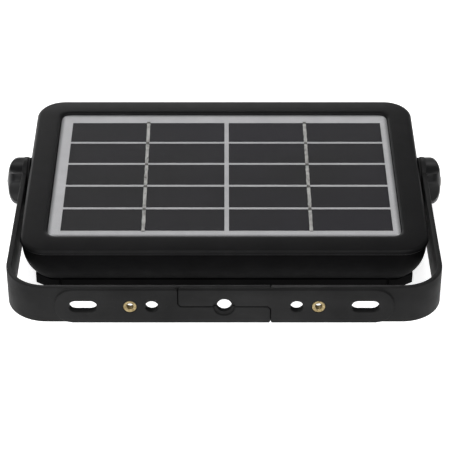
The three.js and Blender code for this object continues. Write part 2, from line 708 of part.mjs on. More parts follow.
function addBattery() {
  const length = HEAD_LENGTH * BATTERY_SHARE[0];
  const width = HEAD_WIDTH * BATTERY_SHARE[1];
  const [x, y] = BATTERY_CENTRE;
  const foamHalf = [length / 2 - 2, width / 2 - 2];
  const foam = block(
    [x - foamHalf[0], y - foamHalf[1], FOAM_LOW],
    [x + foamHalf[0], y + foamHalf[1], BATTERY_LOW],
  );
  add(group, 'foam_pad', foam, materials.foam);
  const pack = plate(roundedRectangle(length, width, 4), BATTERY_LOW, BATTERY_LOW + BATTERY_HEIGHT);
  add(group, 'battery_pack', pack.translate([x, y, 0]), materials.foil);
}

function usbSocket() {
  const back = CONTROL_BOARD_BACK;
  const shell = block(
    [PORT_X - 4.5, back, CONTROL_MIDDLE - 1.6],
    [PORT_X + 4.5, CONTROL_FACE_Y - 1.6, CONTROL_MIDDLE + 1.6],
  );
  const mouth = block(
    [PORT_X - 4.2, back + 1, CONTROL_MIDDLE - 1.3],
    [PORT_X + 4.2, CONTROL_FACE_Y, CONTROL_MIDDLE + 1.3],
  );
  const tongue = block(
    [PORT_X - 3.3, back + 0.5, CONTROL_MIDDLE - 0.35],
    [PORT_X + 3.3, CONTROL_FACE_Y - 2.6, CONTROL_MIDDLE + 0.35],
  );
  return shell.subtract(mouth).add(tongue);
}

function addButton() {
  const capBack = CONTROL_FACE_Y - WALL - 1.8;
  const switchBody = block(
    [BUTTON_X - 3, CONTROL_BOARD_BACK, CONTROL_MIDDLE - 3],
    [BUTTON_X + 3, CONTROL_BOARD_BACK + 2, CONTROL_MIDDLE + 3],
  );
  const plungerLength = capBack - BUTTON_TRAVEL - 0.2 - CONTROL_BOARD_BACK;
  const plunger = rod(1.6, [BUTTON_X, CONTROL_BOARD_BACK, CONTROL_MIDDLE], plungerLength, 'y', 20);
  add(group, 'tact_switch', switchBody.add(plunger), materials.rubber);

  const flange = BUTTON_RADIUS + 1.2;
  const capFront = CONTROL_FACE_Y + BUTTON_PROUD;
  const profile = [
    [0, capBack],
    [flange, capBack],
    [flange, capBack + 1],
    [BUTTON_RADIUS, capBack + 1],
    [BUTTON_RADIUS, capFront - 0.6],
    [BUTTON_RADIUS - 0.6, capFront],
    [0, capFront],
  ];
  const cap = solid(turned(profile, 36)).translate([BUTTON_X, 0, CONTROL_MIDDLE]);
  add(group, 'power_button', cap, materials.rubber);
}

function addControls() {
  const board = block(
    [-CONTROL_BOARD_HALF_LENGTH, CONTROL_BOARD_Y, HOUSING_FLOOR_TOP + 1],
    [CONTROL_BOARD_HALF_LENGTH, CONTROL_BOARD_BACK, CONTROL_HIGH + 0.5],
  );
  add(group, 'control_board', board, materials.board);
  add(group, 'usb_socket', usbSocket(), materials.steel);
  addButton();

  const plugOutline = roundedRectangle(PORT_LENGTH - 1.6, PORT_HEIGHT - 1.2, 1.2);
  const flap = plate(roundedRectangle(FLAP_LENGTH, FLAP_HEIGHT, 2), 0, FLAP_THICKNESS)
    .add(plate(plugOutline, -1.1, 0.2))
    .rotate([-90, 0, 0])
    .translate([PORT_X, CONTROL_FACE_Y + 0.1, CONTROL_MIDDLE]);
  add(group, 'port_cover', flap, materials.rubber);

  const pipeLength = CONTROL_FACE_Y + 0.3 - CONTROL_BOARD_BACK;
  const pipe = rod(PIPE_RADIUS, [0, CONTROL_BOARD_BACK, CONTROL_MIDDLE], pipeLength, 'y', 20);
  add(group, 'indicator_light_pipe', pipe, materials.clear);
}

// A red and a black wire from each of the panel, the battery and the LED board to the control board.
function addWires() {
  const end = CONTROL_BOARD_Y - WIRE_END_GAP;
  const [holeX, holeY] = WIRE_HOLE;
  const batteryEnd = BATTERY_CENTRE[0] + HEAD_LENGTH * BATTERY_SHARE[0] / 2 + 0.8;
  for (const [k, colour] of ['red', 'black'].entries()) {
    const shift = k * WIRE_SPACING;
    const finish = k === 0 ? materials.copper : materials.rubber;
    const panelWire = wire([
      [holeX + shift, holeY, PANEL_BOTTOM - 0.3],
      [holeX + shift, holeY, 22],
      [holeX + 4 + shift, holeY + 6, 19 - shift],
      [-40, end - 3 - shift, 19 - shift],
      [-26 + shift, end, 19 - shift],
    ]);
    add(group, `panel_wire_${colour}`, panelWire, finish);
    const batteryWireHeight = BATTERY_LOW + 2 + shift;
    const batteryWire = wire([
      [batteryEnd, 5, batteryWireHeight],
      [batteryEnd + 5.3, 9, batteryWireHeight],
      [30, 30, batteryWireHeight],
      [14, end, batteryWireHeight],
    ]);
    add(group, `battery_wire_${colour}`, batteryWire, finish);
    const ledWire = wire([
      [50 + shift, 20, FOAM_LOW + 0.4],
      [50 + shift, 22, 16],
      [44, 32 + shift, 15],
      [26, end, 16 - shift],
    ]);
    add(group, `led_wire_${colour}`, ledWire, finish);
  }
}

// ---------------------------------------------------------------- the swivel

function ring(radius, bore, start, length, axis = 'x') {
  const outer = rod(radius, [start, 0, 0], length, axis, 40);
  return outer.subtract(rod(bore, [start - 1, 0, 0], length + 2, axis, 24));
}

// Nuts and friction washers stay with the head.
function addSwivelSeats() {
  for (const side of SIDES) {
    const word = side > 0 ? 'right' : 'left';
    const nutInner = PIVOT_FACE - NUT_INSIDE;
    const nutStart = side > 0 ? nutInner : -nutInner - NUT_HEIGHT;
    const nut = hexBar(NUT_ACROSS_FLATS / 2, nutStart, NUT_HEIGHT);
    const nutBore = rod(BOLT_RADIUS + 0.1, [nutStart - 1, PIVOT_Y, PIVOT_HEIGHT], NUT_HEIGHT + 2, 'x', 24);
    add(group, `${word}_nut`, nut.subtract(nutBore), materials.steel);

    const washerInner = PIVOT_FACE + TURNING_GAP;
    const washerStart = side > 0 ? washerInner : -washerInner - WASHER_THICKNESS;
    const washer = ring(WASHER_RADIUS, PIVOT_BORE, washerStart, WASHER_THICKNESS);
    add(group, `${word}_washer`, washer.translate([0, PIVOT_Y, PIVOT_HEIGHT]), materials.rubber);
  }
}

// ---------------------------------------------------------------- the bracket
// Modelled about the swivel axis: X along the axis, the arms run towards -Y, Z is across the strap.

// The U seen along the strap's width, arms up to the swivel axis.
function bracketOutline() {
  const bendX = ARM_OUTER - BRACKET_BEND;
  const bendY = -BRACKET_REACH + BRACKET_BEND;
  const innerBend = BRACKET_BEND - BRACKET_THICKNESS;
  const outline = new THREE.Shape();
  outline.moveTo(-ARM_OUTER, 0);
  outline.lineTo(-ARM_OUTER, bendY);
  outline.absarc(-bendX, bendY, BRACKET_BEND, Math.PI, 1.5 * Math.PI, false);
  outline.lineTo(bendX, -BRACKET_REACH);
  outline.absarc(bendX, bendY, BRACKET_BEND, 1.5 * Math.PI, 2 * Math.PI, false);
  outline.lineTo(ARM_OUTER, 0);
  outline.lineTo(ARM_INNER, 0);
  outline.lineTo(ARM_INNER, bendY);
  outline.absarc(bendX, bendY, innerBend, 2 * Math.PI, 1.5 * Math.PI, true);
  outline.lineTo(-bendX, -BRACKET_REACH + BRACKET_THICKNESS);
  outline.absarc(-bendX, bendY, innerBend, 1.5 * Math.PI, Math.PI, true);
  outline.lineTo(-ARM_INNER, 0);
  return outline;
}

function bracketWhole() {
  const discs = SIDES.map((side) => {
    const start = side > 0 ? ARM_INNER : -ARM_OUTER;
    return rod(PIVOT_RADIUS, [start, 0, 0], BRACKET_THICKNESS, 'x', 48);
  });
  const padOutline = roundedRectangle(2 * PAD_HALF_LENGTH, PAD_HEIGHT, PAD_HEIGHT / 2 - 1);
  const pad = plate(padOutline, 0, PAD_THICKNESS + 1)
    .rotate([90, 0, 0])
    .translate([0, -BRACKET_REACH + 1, 0]);
  let body = join(plate(bracketOutline(), -STRAP_HALF, STRAP_HALF), pad, ...discs);
  body = body.subtract(rod(PIVOT_BORE, [-ARM_OUTER - 1, 0, 0], 2 * ARM_OUTER + 2, 'x', 24));

  // Holes through the strap, the same on both halves.
  const start = -BRACKET_REACH - PAD_THICKNESS - 1;
  const depth = BRACKET_THICKNESS + PAD_THICKNESS + 2;
  for (const side of SIDES) {
    const slot = plate(roundedRectangle(SLOT_LENGTH, SLOT_WIDTH, SLOT_WIDTH / 2 - 0.01), 0, depth)
      .rotate([-90, 0, 0])
      .translate([side * SLOT_POSITION, start, 0]);
    const insertHole = rod(INSERT_RADIUS, [side * INSERT_POSITION, start, 0], depth, 'y', 28);
    const roundHole = rod(ROUND_HOLE_RADIUS, [side * ROUND_HOLE_POSITION, start, 0], depth, 'y', 28);
    body = cut(body, slot, insertHole, roundHole);
  }
  return cut(
    body,
    rod(CENTRE_HOLE_RADIUS, [0, start, 0], depth, 'y', 32),
    rod(CENTRE_RIM_RADIUS, [0, start, 0], CENTRE_RIM_DEPTH + 1, 'y', 32),
  );
}

// A flat shape in the strap's plane, drawn as [x, z] points, as deep as the front half of its section.
function frontPlate(points) {
  const front = -BRACKET_REACH - PAD_THICKNESS - 1;
  const middle = -BRACKET_REACH + (BRACKET_THICKNESS - PAD_THICKNESS) / 2 - SEAM_GAP / 2;
  const outline = new THREE.Shape(points.map(([x, z]) => new THREE.Vector2(x, z)));
  return plate(outline, 0, middle - front).rotate([90, 0, 0]).translate([0, middle, 0]);
}

// The space that the right half fills: its own side, and two tongues that reach past the middle, one in
// the upper front quarter and one in the lower rear quarter of the strap's section. The front tongue has
// one corner cut off, which the other half fills, and a small notch opens each end of the front seam.
function rightHalfSpace() {
  const front = -BRACKET_REACH - PAD_THICKNESS - 1;
  const back = PIVOT_RADIUS + 1;
  const middle = -BRACKET_REACH + (BRACKET_THICKNESS - PAD_THICKNESS) / 2;
  const gap = SEAM_GAP / 2;
  const edge = SEAM_REACH + gap;
  const past = SEAM_REACH + 2;
  const high = STRAP_HALF + 1;
  const cornerSum = SEAM_REACH - SEAM_CHAMFER - gap + Math.SQRT2 * gap;
  const side = block([edge, front, -PIVOT_RADIUS - 1], [ARM_OUTER + 1, back, PIVOT_RADIUS + 1]);
  const upper = frontPlate([
    [-SEAM_REACH + gap + SEAM_CHAMFER, gap],
    [past, gap],
    [past, high],
    [-SEAM_REACH + gap, high],
    [-SEAM_REACH + gap, gap + SEAM_CHAMFER],
  ]);
  const corner = frontPlate([[past, 1], [cornerSum - 1, 1], [past, cornerSum - past]]);
  const lower = block([-SEAM_REACH + gap, middle + gap, -high], [past, back, -gap]);
  const notches = [[-1, 1], [1, -1]].map(([x, z]) => frontPlate([
    [x * SEAM_REACH, z * (STRAP_HALF - SEAM_NOTCH_DEPTH)],
    [x * SEAM_REACH + SEAM_NOTCH_HALF * z, z * STRAP_HALF],
    [x * SEAM_REACH + SEAM_NOTCH_HALF * z, z * (high + 1)],
    [x * SEAM_REACH - SEAM_NOTCH_HALF * z, z * (high + 1)],
    [x * SEAM_REACH - SEAM_NOTCH_HALF * z, z * STRAP_HALF],
  ]));
  return cut(join(side, upper, corner, lower), ...notches);
}

// The space that the left half fills: the same, turned half a turn about the strap's normal.
function leftHalfSpace() {
  return rightHalfSpace().rotate([0, 180, 0]);
}

function insertPiece(side) {
  const length = BRACKET_THICKNESS + PAD_THICKNESS - 0.2;
  const start = -BRACKET_REACH - PAD_THICKNESS + 0.1;
  const body = rod(INSERT_RADIUS - 0.05, [side * INSERT_POSITION, start, 0], length, 'y', 28);
  return body.subtract(rod(INSERT_BORE, [side * INSERT_POSITION, start - 1, 0], length + 2, 'y', 20));
}

// A piece modelled along +Y from the arm's outside, turned to stand out on the left or the right.
function standOut(body, side) {
  return body.rotate([0, 0, -90 * side]).translate([side * (ARM_OUTER + TURNING_GAP), 0, 0]);
}

function knob(side) {
  const profile = [[0, 0], [PIVOT_RADIUS, 0]];
  const steps = 6;
  for (let k = 0; k <= steps; k += 1) {
    const angle = k / steps * Math.PI / 2;
    profile.push([
      KNOB_FACE_RADIUS + (PIVOT_RADIUS - KNOB_FACE_RADIUS) * Math.cos(angle),
      KNOB_SKIRT + (KNOB_HEIGHT - KNOB_SKIRT) * Math.sin(angle),
    ]);
  }
  profile.push([0, KNOB_HEIGHT]);
  let body = solid(turned(profile, 40));
  const reach = PIVOT_RADIUS + SCALLOP_RADIUS - SCALLOP_BITE;
  for (let k = 0; k < KNOB_LOBES; k += 1) {
    const angle = side * (THREE.MathUtils.degToRad(SCALLOP_TURN) + k / KNOB_LOBES * 2 * Math.PI);
    const start = [reach * Math.sin(angle), -1, reach * Math.cos(angle)];
    body = body.subtract(rod(SCALLOP_RADIUS, start, KNOB_HEIGHT + 2, 'y', 30));
  }
  body = cut(
    body,
    rod(KNOB_WASHER_RADIUS + 0.2, [0, -1, 0], KNOB_WASHER_THICKNESS + 1.2, 'y'),
    rod(BOLT_RADIUS + 0.1, [0, -1, 0], KNOB_HEIGHT + 2, 'y', 24),
    rod(BOLT_HEAD_RADIUS + 0.15, [0, KNOB_HEIGHT - BOLT_HEAD_SUNK - 0.1, 0], 3, 'y', 24),
  );
  return standOut(body, side);
}

function bolt(side) {
  const tip = BOLT_TIP - ARM_OUTER;
  const headBottom = KNOB_HEIGHT - BOLT_HEAD_SUNK;
  const headTop = KNOB_HEIGHT + BOLT_HEAD_PROUD;
  const profile = [
    [0, tip],
    [BOLT_RADIUS - 0.5, tip],
    [BOLT_RADIUS, tip + 0.5],
    [BOLT_RADIUS, headBottom],
    [BOLT_HEAD_RADIUS, headBottom],
    [BOLT_HEAD_RADIUS, headTop - 0.5],
    [BOLT_HEAD_RADIUS - 0.7, headTop],
    [0, headTop],
  ];
  return standOut(solid(turned(profile, 24)), side);
}

// The bracket stands out a little above level, held by its knobs.
function addBracket() {
  const bracket = new THREE.Group();
  bracket.position.set(0, PIVOT_Y, PIVOT_HEIGHT);
  bracket.rotation.x = THREE.MathUtils.degToRad(-BRACKET_TILT);
  group.add(bracket);
  const whole = bracketWhole();
  add(bracket, 'bracket_right', whole.intersect(rightHalfSpace()), materials.bracket);
  add(bracket, 'bracket_left', whole.intersect(leftHalfSpace()), materials.bracket);
  for (const side of SIDES) {
    const word = side > 0 ? 'right' : 'left';
    add(bracket, `bracket_insert_${word}`, insertPiece(side), materials.brass);
    add(bracket, `${word}_knob`, knob(side), materials.knob);
    add(bracket, `${word}_bolt`, bolt(side), materials.steel);
    const washerInner = ARM_OUTER + TURNING_GAP;
    const washerStart = side > 0 ? washerInner : -washerInner - KNOB_WASHER_THICKNESS;
    const washer = ring(KNOB_WASHER_RADIUS, BOLT_RADIUS + 0.1, washerStart, KNOB_WASHER_THICKNESS);
    add(bracket, `${word}_knob_washer`, washer, materials.steel);
  }
}

// ---------------------------------------------------------------- the whole light

add(group, 'lower_housing', lowerHousing(), materials.shell);
add(group, 'bezel_shell', bezelShell(), materials.shell);
add(group, 'housing_gasket', housingGasket(), materials.rubber);
addPanel();
addLensSide();
addBattery();
addControls();
addWires();
addSwivelSeats();
addBracket();

group.updateMatrixWorld(true);
const bounds = new THREE.Box3().setFromObject(group, true);
const middle = bounds.getCenter(new THREE.Vector3());
group.position.set(-middle.x, -middle.y, -bounds.min.z);
group.updateMatrixWorld(true);

export default group;
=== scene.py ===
"""The looks of a solar flood light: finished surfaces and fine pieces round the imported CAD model."""

import json
import math

import bmesh
import bpy
from mathutils import Matrix, Vector, noise


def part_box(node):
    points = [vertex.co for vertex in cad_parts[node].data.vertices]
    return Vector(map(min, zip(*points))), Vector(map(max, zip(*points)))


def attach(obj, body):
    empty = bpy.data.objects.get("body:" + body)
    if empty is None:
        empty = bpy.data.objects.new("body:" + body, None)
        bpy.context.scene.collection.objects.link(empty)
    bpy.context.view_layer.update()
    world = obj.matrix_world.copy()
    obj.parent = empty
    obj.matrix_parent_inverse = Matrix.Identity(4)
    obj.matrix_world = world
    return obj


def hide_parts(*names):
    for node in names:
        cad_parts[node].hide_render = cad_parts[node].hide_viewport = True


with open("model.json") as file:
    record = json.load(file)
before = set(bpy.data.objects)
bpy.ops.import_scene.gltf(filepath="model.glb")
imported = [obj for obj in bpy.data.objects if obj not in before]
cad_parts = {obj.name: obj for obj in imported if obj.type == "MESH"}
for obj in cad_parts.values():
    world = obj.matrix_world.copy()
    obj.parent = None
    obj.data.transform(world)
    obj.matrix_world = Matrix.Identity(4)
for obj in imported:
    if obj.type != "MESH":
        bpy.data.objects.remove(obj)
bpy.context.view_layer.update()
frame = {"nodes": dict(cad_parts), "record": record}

MM = 0.001
SLOTS = {part["node"]: part["material_slot"] for part in frame["record"]["subparts"]}

# ---------------------------------------------------------------- sizes, in millimetres


def box_mm(node):
    low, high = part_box(node)
    return [v / MM for v in low], [v / MM for v in high]


BEZEL_LOW, BEZEL_HIGH = box_mm("bezel_shell")
FRAME_LOW, FRAME_HIGH = box_mm("lens_frame")
BOARD_LOW, BOARD_HIGH = box_mm("panel_board")
HEAD_Y = (BEZEL_LOW[1] + BEZEL_HIGH[1]) / 2
HEAD_HALF = (BEZEL_HIGH[0], (BEZEL_HIGH[1] - BEZEL_LOW[1]) / 2)
HEAD_TOP = BEZEL_HIGH[2]
HEAD_CORNER = 13.5
LIP_THICKNESS = 2.5
PARTING = HEAD_TOP - LIP_THICKNESS
FRAME_HALF = (FRAME_HIGH[0], (FRAME_HIGH[1] - FRAME_LOW[1]) / 2)
FRAME_TOP = FRAME_HIGH[2]
PANEL_CLEARANCE = 0.4
PANEL_CORNER = 4.4
POCKET_INSET = HEAD_HALF[0] - BOARD_HIGH[0] - PANEL_CLEARANCE
POCKET_CORNER = PANEL_CORNER + PANEL_CLEARANCE
PANEL_BOTTOM = BOARD_LOW[2]
CELL_LOW, CELL_HIGH = box_mm("solar_cell_1")
CELL_PITCH = abs(box_mm("solar_cell_2")[0][1] - CELL_LOW[1])
ROW_GAP = 2.0
GAP_Y = CELL_HIGH[1] + ROW_GAP / 2
PIVOT = [v / MM for v in frame["record"]["behaviour"]["joints"][0]["pos_m"]]
PIVOT_RADIUS = 12.4
TILT = math.radians(3)
SHARP_ANGLE = 35

# ---------------------------------------------------------------- mesh helpers


def outline(half_x, half_y, radius, steps):
    """A rounded rectangle about the head's centre, as (x, y) points, anticlockwise."""
    points = []
    for corner, (side_x, side_y) in enumerate(((1, 1), (-1, 1), (-1, -1), (1, -1))):
        centre_x = side_x * (half_x - radius)
        centre_y = side_y * (half_y - radius)
        for k in range(steps + 1):
            angle = (corner + k / steps) * math.pi / 2
            points.append((centre_x + radius * math.cos(angle), centre_y + radius * math.sin(angle)))
    return points


def grid_faces(rows, count, closed):
    """Quads between rows of a tube, each row a closed loop of count vertices."""
    faces = []
    for row in range(rows if closed else rows - 1):
        start = row * count
        after = (row + 1) % rows * count
        for k in range(count):
            n = (k + 1) % count
            faces.append((start + k, start + n, after + n, after + k))
    return faces


def new_object(name, vertices, faces):
    """An object from points in millimetres, with its faces turned outwards."""
    mesh = bpy.data.meshes.new(name)
    mesh.from_pydata([[v * MM for v in point] for point in vertices], [], faces)
    work = bmesh.new()
    work.from_mesh(mesh)
    bmesh.ops.recalc_face_normals(work, faces=work.faces)
    work.to_mesh(mesh)
    work.free()
    made = bpy.data.objects.new(name, mesh)
    bpy.context.collection.objects.link(made)
    return made


def tidy_normals(obj, sharp_angle):
    """Outward normals, smooth shading and sharp edges where the surface turns by more than the angle."""
    obj.data.validate()
    work = bmesh.new()
    work.from_mesh(obj.data)
    bmesh.ops.recalc_face_normals(work, faces=work.faces)
    for face in work.faces:
        face.smooth = True
    limit = math.radians(sharp_angle)
    for edge in work.edges:
        edge.smooth = len(edge.link_faces) == 2 and edge.calc_face_angle(0) < limit
    work.to_mesh(obj.data)
    work.free()


def applied(obj):
    """Replaces an object's mesh by what its modifiers make of it."""
    graph = bpy.context.evaluated_depsgraph_get()
    obj.data = bpy.data.meshes.new_from_object(obj.evaluated_get(graph))
    obj.modifiers.clear()


def combine(obj, tools, operation):
    """Cuts or joins other objects with one object, and deletes them."""
    for tool in tools:
        step = obj.modifiers.new("step", "BOOLEAN")
        step.operation = operation
        step.solver = "EXACT"
        step.object = tool
        applied(obj)
    for tool in tools:
        bpy.data.objects.remove(tool)


def finish_piece(obj, body, slot, nodes=(), sharp_angle=SHARP_ANGLE, look=None):
    """Gives a piece its finish and its body; a look other than the slot's own is named."""
    tidy_normals(obj, sharp_angle)
    obj.data.materials.clear()
    obj.data.materials.append(LOOKS[look or slot])
    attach(obj, body)
    if nodes:
        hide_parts(*nodes)


def loft(name, levels, steps=12):
    """A closed solid through rounded rectangles: levels are (half_x, half_y, radius, z)."""
    vertices = []
    for half_x, half_y, radius, z in levels:
        vertices += [(x, y + HEAD_Y, z) for x, y in outline(half_x, half_y, radius, steps)]
    count = 4 * (steps + 1)
    faces = grid_faces(len(levels), count, False)
    faces.append(tuple(range(count)))
    faces.append(tuple(range((len(levels) - 1) * count, len(levels) * count)))
    return new_object(name, vertices, faces)


def swept_ring(name, profile, steps=14):
    """A closed section of (inset, z) points carried round the head's outline."""
    vertices = []
    for inset, z in profile:
        radius = HEAD_CORNER + (POCKET_CORNER - HEAD_CORNER) * min(inset / POCKET_INSET, 1)
        ring = outline(HEAD_HALF[0] - inset, HEAD_HALF[1] - inset, radius, steps)
        vertices += [(x, y + HEAD_Y, z) for x, y in ring]
    return new_object(name, vertices, grid_faces(len(profile), 4 * (steps + 1), True))


def axis_matrix(centre, direction):
    """Takes +Z to a direction and the origin to a centre."""
    turn = Vector((0, 0, 1)).rotation_difference(Vector(direction)).to_matrix().to_4x4()
    return Matrix.Translation(Vector(centre)) @ turn


def turned(name, profile, centre, direction, sides=96, radius_at=None):
    """A lathe piece: profile is (radius, height) pairs from axis to axis, along a direction."""
    place = axis_matrix(centre, direction)
    vertices = []
    for radius, height in profile:
        for k in range(sides):
            angle = 2 * math.pi * k / sides
            r = radius_at(radius, height, angle) if radius_at else radius
            vertices.append(place @ Vector((r * math.cos(angle), r * math.sin(angle), height)))
    closed = profile[0][0] > 1e-6
    faces = grid_faces(len(profile), sides, closed)
    if not closed:
        faces.append(tuple(range(sides)))
        faces.append(tuple(range((len(profile) - 1) * sides, len(profile) * sides)))
    return new_object(name, vertices, faces)


MERGE_DISTANCE = 1e-6
FLAT_ANGLE = math.radians(0.6)
BEVEL_ANGLE = math.radians(40)


def refined(node, body, width, segments, look=None):
    """A CAD node's shape with its sharp edges rounded, standing in for it."""
    work = bmesh.new()
    work.from_mesh(frame["nodes"][node].data)
    bmesh.ops.remove_doubles(work, verts=work.verts, dist=MERGE_DISTANCE)
    bmesh.ops.dissolve_limit(work, angle_limit=FLAT_ANGLE, verts=work.verts, edges=work.edges)
    bmesh.ops.triangulate(work, faces=work.faces, ngon_method="BEAUTY")
    edges = [e for e in work.edges if len(e.link_faces) == 2 and e.calc_face_angle(0) > BEVEL_ANGLE]
    bmesh.ops.bevel(
        work,
        geom=edges,
        offset=width * MM,
        segments=segments,
        profile=0.5,
        affect="EDGES",
        clamp_overlap=False,
    )
    mesh = bpy.data.meshes.new(node + "_fine")
    work.to_mesh(mesh)
    work.free()
    made = bpy.data.objects.new(node + "_fine", mesh)
    bpy.context.collection.objects.link(made)
    finish_piece(made, body, SLOTS[node], (node,), look=look)


# ---------------------------------------------------------------- materials


class Look:
    """A Principled material whose nodes read the object's own coordinates, in metres."""

    def __init__(self, name, roughness=0.5, metallic=0.0, specular=0.5):
        self.made = bpy.data.materials.new(name)
        self.made.use_nodes = True
        self.tree = self.made.node_tree
        self.shader = self.tree.nodes["Principled BSDF"]
        self.shader.inputs["Roughness"].default_value = roughness
        self.shader.inputs["Metallic"].default_value = metallic
        self.shader.inputs["Specular IOR Level"].default_value = specular
        self.place = self.tree.nodes.new("ShaderNodeTexCoord").outputs["Object"]
        self.bump_normal = None

    def node(self, kind, **settings):
        made = self.tree.nodes.new(kind)
        for key, value in settings.items():
            if hasattr(made, key):
                setattr(made, key, value)
            else:
                made.inputs[key].default_value = value
        return made

    def link(self, output, target):
        self.tree.links.new(output, target)

    def stretched(self, scale):
        mapping = self.node("ShaderNodeMapping")
        mapping.inputs["Scale"].default_value = scale
        self.link(self.place, mapping.inputs["Vector"])
        return mapping.outputs["Vector"]

    def noise(self, scale, detail=4, roughness=0.55, stretch=None):
        made = self.node("ShaderNodeTexNoise")
        made.inputs["Scale"].default_value = scale
        made.inputs["Detail"].default_value = detail
        made.inputs["Roughness"].default_value = roughness
        self.link(self.stretched(stretch) if stretch else self.place, made.inputs["Vector"])
        return made.outputs["Fac"]

    def ramp(self, factor, stops):
        made = self.node("ShaderNodeValToRGB")
        ramp = made.color_ramp
        while len(ramp.elements) < len(stops):
            ramp.elements.new(0.5)
        for element, (position, colour) in zip(ramp.elements, stops):
            element.position = position
            element.color = (*colour, 1)
        self.link(factor, made.inputs["Fac"])
        return made.outputs["Color"]

    def value_ramp(self, factor, stops):
        return self.ramp(factor, [(position, (value,) * 3) for position, value in stops])

    def mix(self, factor, first, second, blend="MIX"):
        made = self.tree.nodes.new("ShaderNodeMix")
        made.data_type = "RGBA"
        made.blend_type = blend
        if isinstance(factor, (int, float)):
            made.inputs["Factor"].default_value = factor
        else:
            self.link(factor, made.inputs["Factor"])
        for value, socket in ((first, made.inputs["A"]), (second, made.inputs["B"])):
            if isinstance(value, tuple):
                socket.default_value = (*value, 1)
            else:
                self.link(value, socket)
        return made.outputs["Result"]

    def math(self, operation, first, second=0.0, third=0.0):
        made = self.tree.nodes.new("ShaderNodeMath")
        made.operation = operation
        for k, value in enumerate((first, second, third)):
            if isinstance(value, (int, float)):
                made.inputs[k].default_value = value
            else:
                self.link(value, made.inputs[k])
        return made.outputs["Value"]

    def axis(self, which):
        split = self.node("ShaderNodeSeparateXYZ")
        self.link(self.place, split.inputs["Vector"])
        return split.outputs[which]

    def colour(self, output):
        self.link(output, self.shader.inputs["Base Color"])

    def rough(self, output):
        self.link(output, self.shader.inputs["Roughness"])

    def bump(self, height, distance, strength=1.0):
        made = self.node("ShaderNodeBump")
        made.inputs["Distance"].default_value = distance
        made.inputs["Strength"].default_value = strength
        self.link(height, made.inputs["Height"])
        if self.bump_normal is not None:
            self.link(self.bump_normal, made.inputs["Normal"])
        self.bump_normal = made.outputs["Normal"]
        self.link(self.bump_normal, self.shader.inputs["Normal"])


def moulded(name, tone, roughness, grain, specular, streak=0.0):
    """Black moulded plastic: a fine grain, faint cloudiness, uneven gloss and a little dust."""
    look = Look(name, roughness, specular=specular)
    cloud = look.noise(45, 3)
    dark = tuple(0.82 * value for value in tone)
    light = tuple(1.22 * value for value in tone)
    body = look.ramp(cloud, [(0.35, dark), (0.65, light)])
    speck = look.value_ramp(look.noise(1500, 1), [(0.74, 0.0), (0.8, 1.0)])
    dust = tuple(6 * value for value in tone)
    look.colour(look.mix(look.math("MULTIPLY", speck, 0.25), body, dust))
    gloss = look.noise(160, 5, 0.65)
    look.rough(look.value_ramp(gloss, [(0.3, roughness - 0.07), (0.7, roughness + 0.08)]))
    look.bump(look.noise(grain, 2), 0.00002, 0.5)
    if streak:
        look.bump(look.noise(60, 3, 0.5, (0.15, 1, 1)), 0.00004, streak)
    return look.made


def rubber(name, tone, roughness=0.75):
    """Matt rubber, mottled and finely pitted."""
    look = Look(name, roughness, specular=0.15)
    dark = tuple(0.75 * value for value in tone)
    light = tuple(1.3 * value for value in tone)
    look.colour(look.ramp(look.noise(240, 5), [(0.35, dark), (0.65, light)]))
    look.rough(look.value_ramp(look.noise(700, 3), [(0.3, roughness - 0.1), (0.7, roughness + 0.1)]))
    look.bump(look.noise(2600, 2), 0.00003, 0.4)
    return look.made


def metal(name, dark, light, roughness, specks=0.0):
    """Worn metal, with specks where it is pitted."""
    look = Look(name, roughness, 1.0)
    look.colour(look.ramp(look.noise(900, 4, 0.6, (1, 1, 1)), [(0.3, dark), (0.7, light)]))
    wear = look.noise(1400, 5, 0.6, (1, 1, 1))
    look.rough(look.value_ramp(wear, [(0.3, roughness - 0.08), (0.7, roughness + 0.12)]))
    look.bump(wear, 0.00003, 0.4)
    if specks:
        look.bump(look.noise(4200, 2), 0.00005, specks)
    return look.made


def edge_share(look, half_x, half_y, centre_y, width):
    """0 at the edge of a rectangle about the head's centre, and 1 from the width inwards."""
    across = look.math("SUBTRACT", half_x, look.math("ABSOLUTE", look.axis("X")))
    shifted = look.math("SUBTRACT", look.axis("Y"), centre_y)
    along = look.math("SUBTRACT", half_y, look.math("ABSOLUTE", shifted))
    nearest = look.math("MINIMUM", across, along)
    made = look.node("ShaderNodeMapRange", interpolation_type="SMOOTHSTEP")
    look.link(nearest, made.inputs["Value"])
    made.inputs["From Max"].default_value = width
    return made.outputs["Result"]


def backsheet():
    """The light sheet under the cells, with painted shade along the rim: the recess wall's shadow, and
    partly the resin rising there.
    """
    look = Look("backsheet", 0.5, specular=0.25)
    half_x = BOARD_HIGH[0] * MM
    half_y = (BOARD_HIGH[1] - BOARD_LOW[1]) / 2 * MM
    share = edge_share(look, half_x, half_y, HEAD_Y * MM, 0.0022)
    body = look.ramp(look.noise(90, 6, 0.65), [(0.3, (0.61, 0.61, 0.625)), (0.7, (0.7, 0.7, 0.715))])
    # Painted shade: the sheet goes to dark grey within 2.2 mm of its edge, standing in for the recess wall's
    # shadow and partly for the resin's rise.
    look.colour(look.mix(share, (0.2, 0.2, 0.205), body))
    look.rough(look.value_ramp(look.noise(300, 4), [(0.3, 0.38), (0.7, 0.55)]))
    look.bump(look.noise(1200, 3), 0.00003, 0.35)
    return look.made


FINGER_PITCH = 0.0017
FINGER_HALF_SHARE = 0.035


